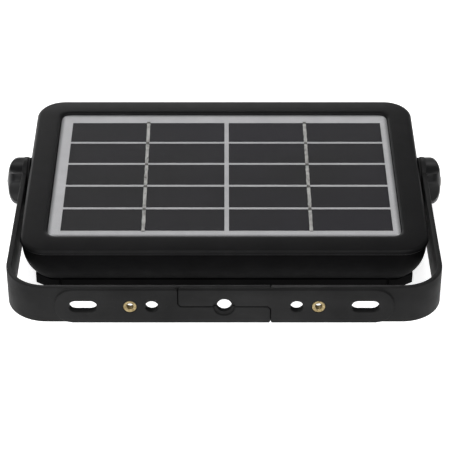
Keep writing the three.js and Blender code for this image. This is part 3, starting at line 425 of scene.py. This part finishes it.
def solar_cell():
    """Dark silicon with fine pale fingers across the ribbon and a faint violet cloud."""
    look = Look("solar_cell", 0.34, specular=0.16)
    cloud = look.noise(14, 3, 0.5)
    body = look.ramp(cloud, [(0.35, (0.022, 0.0218, 0.022)), (0.65, (0.0245, 0.0228, 0.0295))])
    grain = look.noise(600, 5, 0.7, (1, 3, 1))
    crystals = look.ramp(grain, [(0.3, (0.014, 0.014, 0.015)), (0.7, (0.034, 0.033, 0.037))])
    body = look.mix(0.35, body, crystals)
    wave = look.math("FRACT", look.math("MULTIPLY", look.axis("Y"), 1 / FINGER_PITCH))
    off_centre = look.math("ABSOLUTE", look.math("SUBTRACT", wave, 0.5))
    finger = look.math("LESS_THAN", off_centre, FINGER_HALF_SHARE)
    body = look.mix(look.math("MULTIPLY", finger, 0.35), body, (0.055, 0.054, 0.056))
    look.colour(body)
    look.rough(look.value_ramp(look.noise(420, 4), [(0.3, 0.28), (0.7, 0.42)]))
    return look.made


def ribbon():
    """Tinned copper with smeared solder, darker bands where it crosses the gaps between cells, and random
    dark burns.
    """
    look = Look("tinned_ribbon", 0.42, 0.35, 0.4)
    smear = look.noise(420, 6, 0.7, (1, 0.45, 1))
    body = look.ramp(
        smear,
        [(0.3, (0.2, 0.195, 0.18)), (0.45, (0.5, 0.495, 0.48)), (0.7, (0.85, 0.85, 0.82))],
    )
    ripple = look.math("MULTIPLY", look.noise(330, 2), 0.0016)
    # Darker bands over the gaps between cells, set by place alone; the burns are separate random patches.
    shifted = look.math("ADD", look.math("SUBTRACT", look.axis("Y"), GAP_Y * MM), ripple)
    beat = look.math("FRACT", look.math("DIVIDE", shifted, CELL_PITCH * MM))
    far = look.math("ABSOLUTE", look.math("SUBTRACT", beat, 0.5))
    crossing = look.value_ramp(far, [(0.42, 0.0), (0.47, 1.0)])
    burn = look.value_ramp(look.noise(230, 3, 0.6), [(0.6, 0.0), (0.68, 0.6)])
    dark = look.math("MAXIMUM", look.math("MULTIPLY", crossing, 0.85), burn)
    look.colour(look.mix(dark, body, (0.07, 0.066, 0.06)))
    look.rough(look.value_ramp(smear, [(0.3, 0.62), (0.7, 0.3)]))
    look.bump(smear, 0.00012, 0.7)
    return look.made


def clear(name, tint, roughness, transmission):
    """A clear cover or lens with uneven gloss."""
    look = Look(name, roughness, specular=0.5)
    look.colour(look.ramp(look.noise(60, 4), [(0.3, tint), (0.7, tuple(min(1, 1.03 * v) for v in tint))]))
    look.rough(look.value_ramp(look.noise(90, 5), [(0.3, roughness), (0.7, roughness + 0.05)]))
    look.shader.inputs["Transmission Weight"].default_value = transmission
    look.shader.inputs["IOR"].default_value = 1.49
    return look.made


def panel_cover():
    """The clear laminate: almost nothing but a soft sheen over the cells."""
    look = Look("panel_cover", 0.18, specular=0.5)
    look.colour(look.ramp(look.noise(50, 4), [(0.3, (0.02, 0.02, 0.022)), (0.7, (0.035, 0.035, 0.037))]))
    look.rough(look.value_ramp(look.noise(130, 5), [(0.3, 0.12), (0.7, 0.24)]))
    look.shader.inputs["Alpha"].default_value = 0.1
    return look.made


def speckled(name, dark, light, scale, roughness, metallic=0.0, bump=0.00003, specular=0.4):
    """A plain surface with visible mottling and a matching uneven gloss."""
    look = Look(name, roughness, metallic, specular)
    pattern = look.noise(scale, 5, 0.6)
    look.colour(look.ramp(pattern, [(0.3, dark), (0.7, light)]))
    spread = look.noise(2.5 * scale, 4)
    look.rough(look.value_ramp(spread, [(0.3, roughness - 0.08), (0.7, roughness + 0.08)]))
    look.bump(pattern, bump, 0.5)
    return look.made


def floor_material():
    look = Look("floor_pale", 0.85, specular=0.05)
    look.colour(look.ramp(look.noise(3, 3), [(0.3, (0.88, 0.88, 0.88)), (0.7, (0.9, 0.9, 0.9))]))
    look.rough(look.value_ramp(look.noise(30, 3), [(0.3, 0.82), (0.7, 0.9)]))
    look.shader.inputs["Emission Color"].default_value = (1, 1, 1, 1)
    look.shader.inputs["Emission Strength"].default_value = 0.75
    return look.made


def make_looks():
    return {
        "shell_plastic": moulded("shell_plastic", (0.0038, 0.0038, 0.0041), 0.42, 2600, 0.1),
        # hull_plastic is the shell's plastic made matt and slightly darker: partly a matt finish, partly
        # painted shade of the hull under the lip and strap.
        "hull_plastic": moulded("hull_plastic", (0.0034, 0.0034, 0.0036), 0.6, 2000, 0.02),
        "bracket_plastic": moulded("bracket_plastic", (0.012, 0.012, 0.0122), 0.55, 2000, 0.08, 0.25),
        "knob_plastic": moulded("knob_plastic", (0.005, 0.005, 0.0054), 0.38, 2400, 0.2),
        "soft_rubber": rubber("soft_rubber", (0.008, 0.008, 0.008), 0.65),
        "seal_rubber": rubber("seal_rubber", (0.007, 0.007, 0.007)),
        "washer_rubber": rubber("washer_rubber", (0.006, 0.006, 0.006)),
        "panel_backsheet": backsheet(),
        "panel_cover": panel_cover(),
        "solar_cell": solar_cell(),
        "tinned_ribbon": ribbon(),
        "lens_clear": clear("lens_clear", (0.93, 0.95, 0.96), 0.06, 0.92),
        "reflector_white": speckled("reflector_white", (0.74, 0.74, 0.72), (0.82, 0.82, 0.8), 160, 0.35),
        "led_board": speckled("led_board", (0.66, 0.66, 0.63), (0.78, 0.78, 0.75), 220, 0.4),
        "phosphor": speckled("phosphor", (0.72, 0.5, 0.05), (0.86, 0.66, 0.12), 900, 0.5),
        "battery_foil": speckled("battery_foil", (0.25, 0.27, 0.29), (0.42, 0.44, 0.46), 120, 0.35, 0.7),
        "foam": speckled("foam", (0.01, 0.01, 0.01), (0.05, 0.05, 0.05), 900, 0.9, 0.0, 0.0002, 0.1),
        "circuit_board": speckled("circuit_board", (0.005, 0.05, 0.02), (0.012, 0.1, 0.04), 260, 0.45),
        "switch_black": moulded("switch_black", (0.01, 0.01, 0.01), 0.45, 2400, 0.3),
        "steel": metal("steel", (0.34, 0.34, 0.33), (0.56, 0.56, 0.55), 0.32),
        "brass": metal("brass", (0.17, 0.125, 0.055), (0.42, 0.34, 0.19), 0.42, specks=0.8),
        "wire_red": rubber("wire_red", (0.35, 0.012, 0.01), 0.5),
        "wire_black": rubber("wire_black", (0.01, 0.01, 0.01), 0.5),
    }


LOOKS = make_looks()


def finish_cad_nodes():
    """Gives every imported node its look; the finer pieces replace some of them later."""
    for name, node in frame["nodes"].items():
        node.data.materials.clear()
        node.data.materials.append(LOOKS[SLOTS[name]])


# ---------------------------------------------------------------- the head's shells


def arc(centre, radii, start, end, steps):
    """Points of (inset, z) on an ellipse, angles in degrees: 0 is inwards, 90 is up."""
    points = []
    for k in range(steps + 1):
        angle = math.radians(start + (end - start) * k / steps)
        points.append((centre[0] + radii[0] * math.cos(angle), centre[1] + radii[1] * math.sin(angle)))
    return points


BEZEL_FLOOR = 1.6
PLUG_INSET = 5.0
PLUG_DEPTH = 0.4
WALL = 2.2


def add_bezel():
    """A slightly domed rim with a firm outer corner, a soft edge to the panel and a rounded lip."""
    lip = 0.5
    sag = 0.3
    corner = (2.0, 1.7)
    soft = (2.0, 0.65)
    floor_low = PANEL_BOTTOM - BEZEL_FLOOR
    plug_low = floor_low - PLUG_DEPTH
    profile = [(POCKET_INSET, floor_low + 0.5)]
    profile += arc((POCKET_INSET - soft[0], HEAD_TOP - soft[1]), soft, 0, 90, 6)
    dome_end = POCKET_INSET - soft[0]
    for k in range(1, 8):
        share = k / 8
        profile.append((dome_end + (corner[0] - dome_end) * share, HEAD_TOP - sag * share ** 2))
    profile += arc((corner[0], HEAD_TOP - sag - corner[1]), corner, 90, 180, 12)
    profile += arc((lip, PARTING + lip), (lip, lip), 180, 270, 5)
    plug_inner = PLUG_INSET + WALL
    profile += [(PLUG_INSET, PARTING), (PLUG_INSET, plug_low), (plug_inner, plug_low)]
    profile += [(plug_inner, floor_low), (POCKET_INSET, floor_low)]
    bezel = swept_ring("bezel", profile)
    pocket = (HEAD_HALF[0] - POCKET_INSET + 0.2, HEAD_HALF[1] - POCKET_INSET + 0.2, POCKET_CORNER)
    floor = loft("bezel_floor", [(*pocket, floor_low + 0.05), (*pocket, PANEL_BOTTOM - 0.02)])
    finish_piece(bezel, "head", "shell_plastic", ("bezel_shell",))
    finish_piece(floor, "head", "shell_plastic")


HULL_UNDERCUT = 0.8
TAPER_POWER = 2.4
CORNER_SHRINK = 0.6


def hull_levels(low, high, inset, steps):
    """Rounded rectangles of the hull's taper between two heights, drawn in by an inset."""
    levels = []
    taper = (HEAD_HALF[0] - FRAME_HALF[0], HEAD_HALF[1] - FRAME_HALF[1])
    for k in range(steps + 1):
        z = low + (high - low) * k / steps
        depth = min(max((PARTING - z) / (PARTING - FRAME_TOP), 0), 1) ** TAPER_POWER
        half_x = HEAD_HALF[0] - inset - depth * taper[0]
        half_y = HEAD_HALF[1] - inset - depth * taper[1]
        radius = max(HEAD_CORNER - CORNER_SHRINK * (HEAD_HALF[0] - half_x), 2)
        levels.append((half_x, half_y, radius, z))
    return levels


CONTROL_INSET = 7.6
CONTROL_FACE_Y = HEAD_Y + HEAD_HALF[1] - CONTROL_INSET
BUTTON_LOW, BUTTON_HIGH = box_mm("power_button")
CONTROL_MIDDLE = (BUTTON_LOW[2] + BUTTON_HIGH[2]) / 2
BAY_HALF_LENGTH = 34
BAY_HALF_HEIGHT = 9
BAY_BELOW_MIDDLE = 3
BAY_CORNER = 3
BAY_WALL = 2
BAY_FLOOR = 2.7
BAY_WALL_TOP = 17.2
BAY_WALL_INSET = 1.4


def prism_along_y(name, points, centre_x, centre_z, start, end):
    """A closed prism of an (x, z) outline, running along Y between two places."""
    count = len(points)
    vertices = [(x + centre_x, y, z + centre_z) for y in (start, end) for x, z in points]
    faces = grid_faces(2, count, False) + [tuple(range(count)), tuple(range(count, 2 * count))]
    return new_object(name, vertices, faces)


def bay_tool():
    """The rounded bay that the controls sit in."""
    points = outline(BAY_HALF_LENGTH, BAY_HALF_HEIGHT, BAY_CORNER, 8)
    middle = CONTROL_MIDDLE - BAY_BELOW_MIDDLE
    return prism_along_y("bay", points, 0, middle, CONTROL_FACE_Y, CONTROL_FACE_Y + 30)


def bay_wall():
    """The block behind the bay that its floor and sides are cut from, inside the hull."""
    half_x = BAY_HALF_LENGTH + BAY_WALL
    low = (-half_x, CONTROL_FACE_Y - BAY_FLOOR, FRAME_TOP + WALL)
    high = (half_x, HEAD_Y + HEAD_HALF[1] - 0.5, FRAME_TOP + BAY_WALL_TOP)
    points = [(x, y, z) for z in (low[2], high[2]) for y in (low[1], high[1]) for x in (low[0], high[0])]
    faces = [(0, 1, 3, 2), (4, 5, 7, 6), (0, 1, 5, 4), (2, 3, 7, 6), (0, 2, 6, 4), (1, 3, 7, 5)]
    block = new_object("bay_wall", points, faces)
    inside = loft("inside", hull_levels(FRAME_TOP, PARTING - 0.5, BAY_WALL_INSET, 20), 14)
    combine(block, [inside], "INTERSECT")
    return block


PORT_X = -20
BUTTON_X = 20
PORT_HALF = (5.2, 2.4)
BUTTON_HOLE = 4.9
PIPE_RADIUS = 1.5
PIPE_HOLE = PIPE_RADIUS + 0.15


def slot_tool(centre_x, half_x, half_z, radius):
    """A rounded hole through the bay's floor at the controls' height."""
    points = outline(half_x, half_z, radius, 10)
    start, end = CONTROL_FACE_Y - 10, CONTROL_FACE_Y + 10
    return prism_along_y("slot", points, centre_x, CONTROL_MIDDLE, start, end)


def control_holes():
    """The holes for the port, the button and the light pipe."""
    ease = 0.01
    return [
        slot_tool(PORT_X, *PORT_HALF, PORT_HALF[1] - 0.1),
        slot_tool(BUTTON_X, BUTTON_HOLE, BUTTON_HOLE, BUTTON_HOLE - ease),
        slot_tool(0, PIPE_HOLE, PIPE_HOLE, PIPE_HOLE - ease),
    ]


LENS_LEDGE = 2
WINDOW_CORNER = 6


def window_tool():
    """The opening over the lens, which leaves a ledge for its gasket."""
    low, high = box_mm("lens")
    half = (high[0] - LENS_LEDGE, (high[1] - low[1]) / 2 - LENS_LEDGE)
    return loft("window", [(*half, WINDOW_CORNER, -1), (*half, WINDOW_CORNER, FRAME_TOP + 8)])


TURNING_GAP = 0.12
PAD_ROOT_INSIDE = 1.1
PAD_BELOW_LIP = 0.3
PIVOT_BORE = 2.8
FAR_OUT = 200


def pivot_pads():
    """The discs that the bracket's arms turn on, with a softened edge."""
    pads = []
    for side in (-1, 1):
        face = box_mm("right_washer")[0][0] - TURNING_GAP
        root = FRAME_HALF[0] - PAD_ROOT_INSIDE
        edge = PIVOT_RADIUS
        profile = [(0, root), (edge, root), (edge, face - 0.5)]
        profile += [(edge - 0.15, face - 0.15), (edge - 0.5, face), (0, face)]
        pads.append(turned("pad", profile, (0, PIVOT[1], PIVOT[2]), (side, 0, 0), 128))
    return pads


def slab(name, half_x, low, high):
    """A wide block that is cut away from a solid between two heights."""
    return loft(name, [(half_x, FAR_OUT, 5, low), (half_x, FAR_OUT, 5, high)])


def add_lower_housing():
    """The hull with its pivot pads, hollow inside, and its bay, window and holes cut through."""
    outer = loft("lower_hull", hull_levels(FRAME_TOP, PARTING, HULL_UNDERCUT, 26), 14)
    pads = pivot_pads()
    for pad in pads:
        combine(pad, [slab("lid", FAR_OUT, PARTING - PAD_BELOW_LIP, PARTING + 20)], "DIFFERENCE")
    combine(outer, pads, "UNION")
    cavity_levels = hull_levels(FRAME_TOP + WALL, PARTING + 1, HULL_UNDERCUT + WALL, 10)
    room = slab("room", FRAME_HALF[0] + 0.3, -1, FRAME_TOP)
    combine(outer, [loft("cavity", cavity_levels, 8), room], "DIFFERENCE")
    combine(outer, [bay_wall()], "UNION")
    bore = [(0, -120), (PIVOT_BORE, -120), (PIVOT_BORE, 120), (0, 120)]
    bore_tool = turned("bore", bore, (0, PIVOT[1], PIVOT[2]), (1, 0, 0), 48)
    combine(outer, [bay_tool(), window_tool(), *control_holes(), bore_tool], "DIFFERENCE")
    # The hull, slotted as shell plastic, takes the darker hull_plastic look: a matt finish with painted
    # shade.
    finish_piece(outer, "head", "shell_plastic", ("lower_housing",), 30, "hull_plastic")


# ---------------------------------------------------------------- the bracket and its knobs


def bracket_matrix():
    """From the bracket's own frame, about the swivel axis, to the row frame, in millimetres."""
    return Matrix.Translation(Vector(PIVOT)) @ Matrix.Rotation(-TILT, 4, "X")


def add_insert(side):
    """A brass insert: a knurled rim, a chamfered mouth and a threaded bore."""
    low, high = box_mm("bracket_insert_right" if side > 0 else "bracket_insert_left")
    centre_x = (low[0] + high[0]) / 2
    reach = strap_reach()
    place = bracket_matrix()
    start = place @ Vector((centre_x, -reach + 0.1, 0))
    direction = (place.to_3x3() @ Vector((0, 1, 0))).normalized()
    depth, radius = 3.8, 3.14
    crest, root, turns = 1.68, 1.86, 8
    profile = [(radius, 0.25), (3.0, 0.08), (2.75, 0.0), (2.1, 0.0), (1.85, 0.25)]
    for k in range(turns):
        z = 0.3 + (depth - 0.6) * k / turns
        step = (depth - 0.6) / turns
        profile += [(crest, z), (root, z + step / 2)]
    profile += [(1.7, depth - 0.2), (1.85, depth), (radius, depth)]

    def knurl(radius, _height, angle):
        return radius - 0.09 * (0.5 + 0.5 * math.cos(36 * angle)) if radius > 2.9 else radius

    word = "right" if side > 0 else "left"
    piece = turned(f"insert_{word}", profile, start, direction, 216, knurl)
    finish_piece(piece, "bracket", "brass", (f"bracket_insert_{word}",), 50)


STRAP_HALF = 9.1
FACE_EASE = 0.05


def strap_reach():
    """How far the strap's outer face is from the swivel axis."""
    low, _ = box_mm("bracket_right")
    run = PIVOT[1] - low[1]
    return (run - STRAP_HALF * math.sin(TILT)) / math.cos(TILT) + FACE_EASE


SCALLOP_TURN = 14
SCALLOPS = 5
SCALLOP_RADIUS = 9
SCALLOP_REACH = PIVOT_RADIUS + 5.8


def soft_min(a, b, width):
    """The smaller of two values, with the change from one to the other rounded off."""
    share = max(width - abs(a - b), 0) / width
    return min(a, b) - share * share * width / 4


def scalloped(angle):
    """The knob's radius at an angle, with five finger scallops."""
    step = 2 * math.pi / SCALLOPS
    away = (angle + step / 2) % step - step / 2
    offset = SCALLOP_REACH * math.sin(away)
    if abs(offset) >= SCALLOP_RADIUS:
        return PIVOT_RADIUS
    cut = SCALLOP_REACH * math.cos(away) - math.sqrt(SCALLOP_RADIUS ** 2 - offset ** 2)
    return soft_min(PIVOT_RADIUS, cut, 1.3)


def add_knob(side):
    """A domed knob with five scallops, a rim at its foot and a recess round the bolt's head."""
    word = "right" if side > 0 else "left"
    low, high = box_mm(f"{word}_knob")
    inner, outer = (low[0], high[0]) if side > 0 else (-high[0], -low[0])
    height = outer - inner
    skirt, face = 2.2, 5.0
    turn = scallop_angle(side)
    profile = [(2.5, 1.2), (6.2, 1.2), (6.2, 0.0)]
    profile += [(PIVOT_RADIUS - 0.4, 0.0), (PIVOT_RADIUS - 0.1, 0.1), (PIVOT_RADIUS, 0.4)]
    for k in range(25):
        angle = k / 24 * math.pi / 2
        profile.append((
            face + (PIVOT_RADIUS - face) * math.cos(angle),
            skirt + (height - skirt) * math.sin(angle),
        ))
    profile += [(3.2, height), (2.95, height - 0.1), (2.86, height - 0.3)]
    profile += [(2.86, height - 1.5), (2.5, height - 1.5)]

    def edge(radius, z, angle):
        if radius < 3.5 or (z < 1.3 and radius < 7):
            return radius
        return soft_min(radius, scalloped(angle - turn), 0.7)

    centre = (side * inner, PIVOT[1], PIVOT[2])
    piece = turned(f"knob_{word}_fine", profile, centre, (side, 0, 0), 300, edge)
    finish_piece(piece, f"knob_{word}", "knob_plastic", (f"{word}_knob",), 40)


def scallop_angle(side):
    """The polar angle, in the knob's own turned frame, of the scallop that faces up and forward."""
    lean = math.radians(SCALLOP_TURN) - TILT
    wanted = Vector((0, -math.sin(lean), math.cos(lean)))
    local = axis_matrix((0, 0, 0), (side, 0, 0)).to_3x3().inverted() @ wanted
    return math.atan2(local.y, local.x)


def add_bolt(side):
    """A domed bolt head in the knob, its shank running to the nut."""
    word = "right" if side > 0 else "left"
    low, high = box_mm(f"{word}_bolt")
    inner, outer = (low[0], high[0]) if side > 0 else (-high[0], -low[0])
    shank, head = 2.4, 2.7
    neck = outer - 2.3
    profile = [(0, inner), (1.9, inner), (shank, inner + 0.5), (shank, neck), (head, neck)]
    for k in range(9):
        angle = k / 8 * math.pi / 2
        profile.append((1.4 + 1.3 * math.cos(angle), outer - 0.9 + 0.9 * math.sin(angle)))
    profile += [(1.15, outer), (1.0, outer - 0.12), (1.0, outer - 0.8), (0, outer - 0.8)]

    def socket(radius, height, angle):
        if radius > 1.16 or height < outer - 1:
            return radius
        away = (angle + math.pi / 6) % (math.pi / 3) - math.pi / 6
        return radius / math.cos(away)

    piece = turned(f"bolt_{word}", profile, (0, PIVOT[1], PIVOT[2]), (side, 0, 0), 96, socket)
    finish_piece(piece, f"knob_{word}", "steel", (f"{word}_bolt",), 40)


def add_bracket():
    """Both halves of the bracket, with the insert, knob, bolt and washers of each side."""
    for word in ("left", "right"):
        refined(f"bracket_{word}", "bracket", 0.38, 3)
    for side in (-1, 1):
        word = "right" if side > 0 else "left"
        add_insert(side)
        add_knob(side)
        add_bolt(side)
        refined(f"{word}_washer", "head", 0.15, 2)
        refined(f"{word}_knob_washer", f"knob_{word}", 0.1, 2)


# ---------------------------------------------------------------- the solar panel


def add_ribbon(word, bend, phase):
    """A hand-laid ribbon: slightly crooked, uneven in width, with a swell of solder at each gap."""
    node = f"panel_ribbon_{word}"
    low, high = box_mm(node)
    centre = (low[0] + high[0]) / 2
    half = (high[0] - low[0]) / 2
    rows, columns = 260, 6
    vertices = []
    for level in (0, 1):
        for row in range(rows + 1):
            share = row / rows
            y = low[1] + (high[1] - low[1]) * share
            drift = bend * (1 - share) + 0.10 * noise.noise(Vector((phase, y * 0.11, 0)))
            width = half * (0.93 + 0.22 * noise.noise(Vector((phase, y * 0.55, 7))))
            for column in range(columns + 1):
                across = 2 * column / columns - 1
                ruffle = 0.05 * noise.noise(Vector((phase + across, y * 1.3, 3)))
                x = centre + drift + across * width + ruffle
                crown = 0.85 - 0.25 * across ** 2 + 0.25 * noise.noise(Vector((x * 1.5, y * 1.1, phase)))
                z = low[2] + level * (high[2] - low[2]) * min(max(crown, 0.35), 1)
                vertices.append((x, y, z))
    stride = columns + 1
    sheet = (rows + 1) * stride
    faces = []
    for level in (0, 1):
        for row in range(rows):
            for column in range(columns):
                a = level * sheet + row * stride + column
                faces.append((a, a + 1, a + stride + 1, a + stride))
    rim = list(range(0, stride))
    rim += [row * stride + columns for row in range(1, rows + 1)]
    rim += [rows * stride + column for column in range(columns - 1, -1, -1)]
    rim += [row * stride for row in range(rows - 1, 0, -1)]
    for k, a in enumerate(rim):
        b = rim[(k + 1) % len(rim)]
        faces.append((a, b, b + sheet, a + sheet))
    piece = new_object(f"ribbon_{word}", vertices, faces)
    finish_piece(piece, "head", "tinned_ribbon", (node,), 60)


def add_panel():
    add_ribbon("left", 0.35, 1.7)
    add_ribbon("right", 0.15, 9.2)


# ---------------------------------------------------------------- the lens side


LED_ROWS = 6
LED_COLUMNS = 12
LED_MARGIN = 11.5
LED_HEIGHT = 0.7
LED_HALF = 1.75
EMITTER_HALF = 1.15
EMITTER_HEIGHT = 0.12


def add_leds():
    """The LED board, with a white package and a yellow emitter at each place."""
    low, high = box_mm("led_board")
    board_bottom = low[2] + LED_HEIGHT
    half = (high[0], (high[1] - low[1]) / 2)
    board = loft("led_board_fine", [(*half, 3, board_bottom), (*half, 3, high[2])], 6)
    finish_piece(board, "head", "led_board", ("led_board",))
    field = (high[0] - LED_MARGIN, (high[1] - low[1]) / 2 - LED_MARGIN)
    bodies, emitters = [], []
    for row in range(LED_ROWS):
        for column in range(LED_COLUMNS):
            x = field[0] * (2 * column / (LED_COLUMNS - 1) - 1)
            y = field[1] * (2 * row / (LED_ROWS - 1) - 1)
            bodies.append(package(x, y, board_bottom, LED_HALF, LED_HEIGHT))
            emitter_top = board_bottom - LED_HEIGHT + 0.08
            emitters.append(package(x, y, emitter_top, EMITTER_HALF, EMITTER_HEIGHT))
    finish_piece(joined("led_packages", bodies), "head", "reflector_white")
    finish_piece(joined("led_emitters", emitters), "head", "led_board", look="phosphor")


def joined(name, blocks):
    """One object from many blocks, each a list of points and a list of faces."""
    vertices, faces = [], []
    for points, quads in blocks:
        start = len(vertices)
        vertices += points
        faces += [tuple(start + k for k in quad) for quad in quads]
    return new_object(name, vertices, faces)


def package(x, y, top, half, height):
    """A small block with a bevelled lower face, hanging from the board."""
    y += HEAD_Y
    small = half - 0.2
    points = []
    for extent, z in ((half, top), (half, top - height + 0.15), (small, top - height)):
        points += [(x + a * extent, y + b * extent, z) for a, b in ((1, 1), (-1, 1), (-1, -1), (1, -1))]
    faces = [(0, 1, 2, 3), (8, 9, 10, 11)]
    for level in (0, 4):
        for k in range(4):
            n = (k + 1) % 4
            faces.append((level + k, level + n, level + 4 + n, level + 4 + k))
    return points, faces


SCREW_COUNT = 8
SCREW_HEAD = 2.8
SCREW_HEAD_HEIGHT = 1.9
SCREW_SHANK = 1.4
SCREW_POINT = 1.5
CROSS_REACH = 1.75
CROSS_HALF = 0.34
DOME_START = 1.9


def screw_face(dx, dy):
    """How far a pan head's face is sunk: by its cross recess, and by its rounded edge."""
    r = math.hypot(dx, dy)
    arm = max(0, 1 - r / CROSS_REACH)
    inside = (CROSS_HALF + 0.25 * arm - min(abs(dx), abs(dy))) / 0.12
    recess = min(max(inside, 0), 1) * min(3 * arm, 1)
    return recess + 0.5 * max(0, (r - DOME_START) / (SCREW_HEAD - DOME_START)) ** 2


def add_frame_screws():
    """Pan heads with a cross recess, facing down."""
    for k in range(SCREW_COUNT):
        node = f"frame_screw_{k + 1}"
        low, high = box_mm(node)
        x, y = (low[0] + high[0]) / 2, (low[1] + high[1]) / 2
        rings, sides = 14, 64
        face, neck = low[2], low[2] + SCREW_HEAD_HEIGHT
        shank_end = high[2] - SCREW_POINT
        circle = [2 * math.pi * side / sides for side in range(sides)]
        vertices = []
        for ring in range(1, rings + 1):
            r = SCREW_HEAD * ring / rings
            for angle in circle:
                dx, dy = r * math.cos(angle), r * math.sin(angle)
                vertices.append((x + dx, y + dy, face + screw_face(dx, dy)))
        for r, z in ((SCREW_HEAD, neck), (SCREW_SHANK, neck), (SCREW_SHANK, shank_end), (0.05, high[2])):
            vertices += [(x + r * math.cos(angle), y + r * math.sin(angle), z) for angle in circle]
        rows = rings + 4
        faces = grid_faces(rows, sides, False)
        faces.append(tuple(range(sides)))
        faces.append(tuple(range((rows - 1) * sides, rows * sides)))
        piece = new_object(f"screw_{k + 1}", vertices, faces)
        finish_piece(piece, "head", "steel", (node,), 40)


def add_lens_side():
    # The lens frame also takes the darker hull_plastic look, a matt finish with painted shade.
    refined("lens_frame", "head", 0.35, 3, "hull_plastic")
    refined("lens", "head", 0.25, 2)
    refined("reflector", "head", 0.2, 2)
    add_leds()
    add_frame_screws()


# ---------------------------------------------------------------- the controls


BUTTON_RADIUS = 4.6
BUTTON_FLANGE = 5.8
BUTTON_ROUND = 0.6
PIPE_ROUND = 0.5


def add_controls():
    """The button's dished cap, the port's cover and the light pipe's rounded end."""
    x = (BUTTON_LOW[0] + BUTTON_HIGH[0]) / 2
    front = BUTTON_HIGH[1]
    back = BUTTON_LOW[1]
    round_start = front - BUTTON_ROUND
    profile = [(0, back), (BUTTON_FLANGE, back), (BUTTON_FLANGE, back + 1)]
    profile += [(BUTTON_RADIUS, back + 1), (BUTTON_RADIUS, round_start)]
    for k in range(1, 7):
        angle = k / 6 * math.pi / 2
        profile.append((
            BUTTON_RADIUS - BUTTON_ROUND + BUTTON_ROUND * math.cos(angle),
            round_start + BUTTON_ROUND * math.sin(angle),
        ))
    profile += [(3.4, front), (3.0, front - 0.12), (2.2, front - 0.3), (1.2, front - 0.38), (0, front - 0.4)]
    button = turned("button_cap", profile, (x, 0, CONTROL_MIDDLE), (0, 1, 0), 96)
    finish_piece(button, "button", "soft_rubber", ("power_button",), 40)
    refined("port_cover", "flap", 0.35, 3)
    pipe_low, pipe_high = box_mm("indicator_light_pipe")
    round_start = pipe_high[1] - PIPE_ROUND
    dome = [(0, pipe_low[1]), (PIPE_RADIUS, pipe_low[1]), (PIPE_RADIUS, round_start)]
    for k in range(1, 6):
        angle = k / 5 * math.pi / 2
        dome.append((PIPE_RADIUS * math.cos(angle), round_start + PIPE_ROUND * math.sin(angle)))
    pipe = turned("light_pipe", dome, (0, 0, CONTROL_MIDDLE), (0, 1, 0), 48)
    finish_piece(pipe, "head", "lens_clear", ("indicator_light_pipe",), 40)


# ---------------------------------------------------------------- camera, floor and light

CAMERA_ELEVATION = 36.635
CAMERA_PLACE = (0.34 * MM, (HEAD_Y - 746.28) * MM, 551.3 * MM)
CAMERA_LENS = 145.65


def add_camera():
    data = bpy.data.cameras.new("camera")
    data.lens = CAMERA_LENS
    data.sensor_width = 36.0
    data.clip_start = 0.01
    camera = bpy.data.objects.new("camera", data)
    camera.location = CAMERA_PLACE
    camera.rotation_euler = (math.radians(90 - CAMERA_ELEVATION), 0, 0)
    bpy.context.collection.objects.link(camera)
    bpy.context.scene.camera = camera


def area_light(name, place, aim, size, power):
    data = bpy.data.lights.new(name, "AREA")
    data.shape = "RECTANGLE"
    data.size, data.size_y = size
    data.energy = power
    light = bpy.data.objects.new(name, data)
    light.location = place
    light.rotation_euler = (Vector(aim) - Vector(place)).to_track_quat("-Z", "Y").to_euler()
    bpy.context.collection.objects.link(light)


def add_studio():
    """A pale floor, a surround that is white near the horizon, and three area lights."""
    bpy.ops.mesh.primitive_plane_add(size=6, location=(0, 0, -0.0001))
    floor = bpy.context.object
    floor.name = "floor"
    floor.data.materials.append(floor_material())
    world = bpy.data.worlds.new("world")
    bpy.context.scene.world = world
    world.use_nodes = True
    tree = world.node_tree
    split = tree.nodes.new("ShaderNodeSeparateXYZ")
    tree.links.new(tree.nodes.new("ShaderNodeTexCoord").outputs["Generated"], split.inputs["Vector"])
    sky = tree.nodes.new("ShaderNodeMapRange")
    sky.interpolation_type = "SMOOTHSTEP"
    for name, value in (("From Min", 0.16), ("From Max", 0.3), ("To Min", 1.0), ("To Max", 0.24)):
        sky.inputs[name].default_value = value
    tree.links.new(split.outputs["Z"], sky.inputs["Value"])
    tree.links.new(sky.outputs["Result"], tree.nodes["Background"].inputs["Strength"])
    tree.nodes["Background"].inputs["Color"].default_value = (1, 1, 1, 1)
    area_light("overhead", (0, -0.2, 1.5), (0, 0, 0), (1.4, 0.5), 12)
    area_light("back_strip", (-0.7, 1.4, 0.33), (0, 0, 0.02), (2.4, 0.5), 12)
    area_light("front_box", (-0.35, -1.4, 0.75), (0, 0, 0.02), (1.2, 0.8), 12)
    bpy.context.scene.view_settings.view_transform = "Standard"


# ---------------------------------------------------------------- the whole


def main():
    finish_cad_nodes()
    add_bezel()
    add_lower_housing()
    add_bracket()
    add_panel()
    add_lens_side()
    add_controls()
    add_camera()
    add_studio()


main()
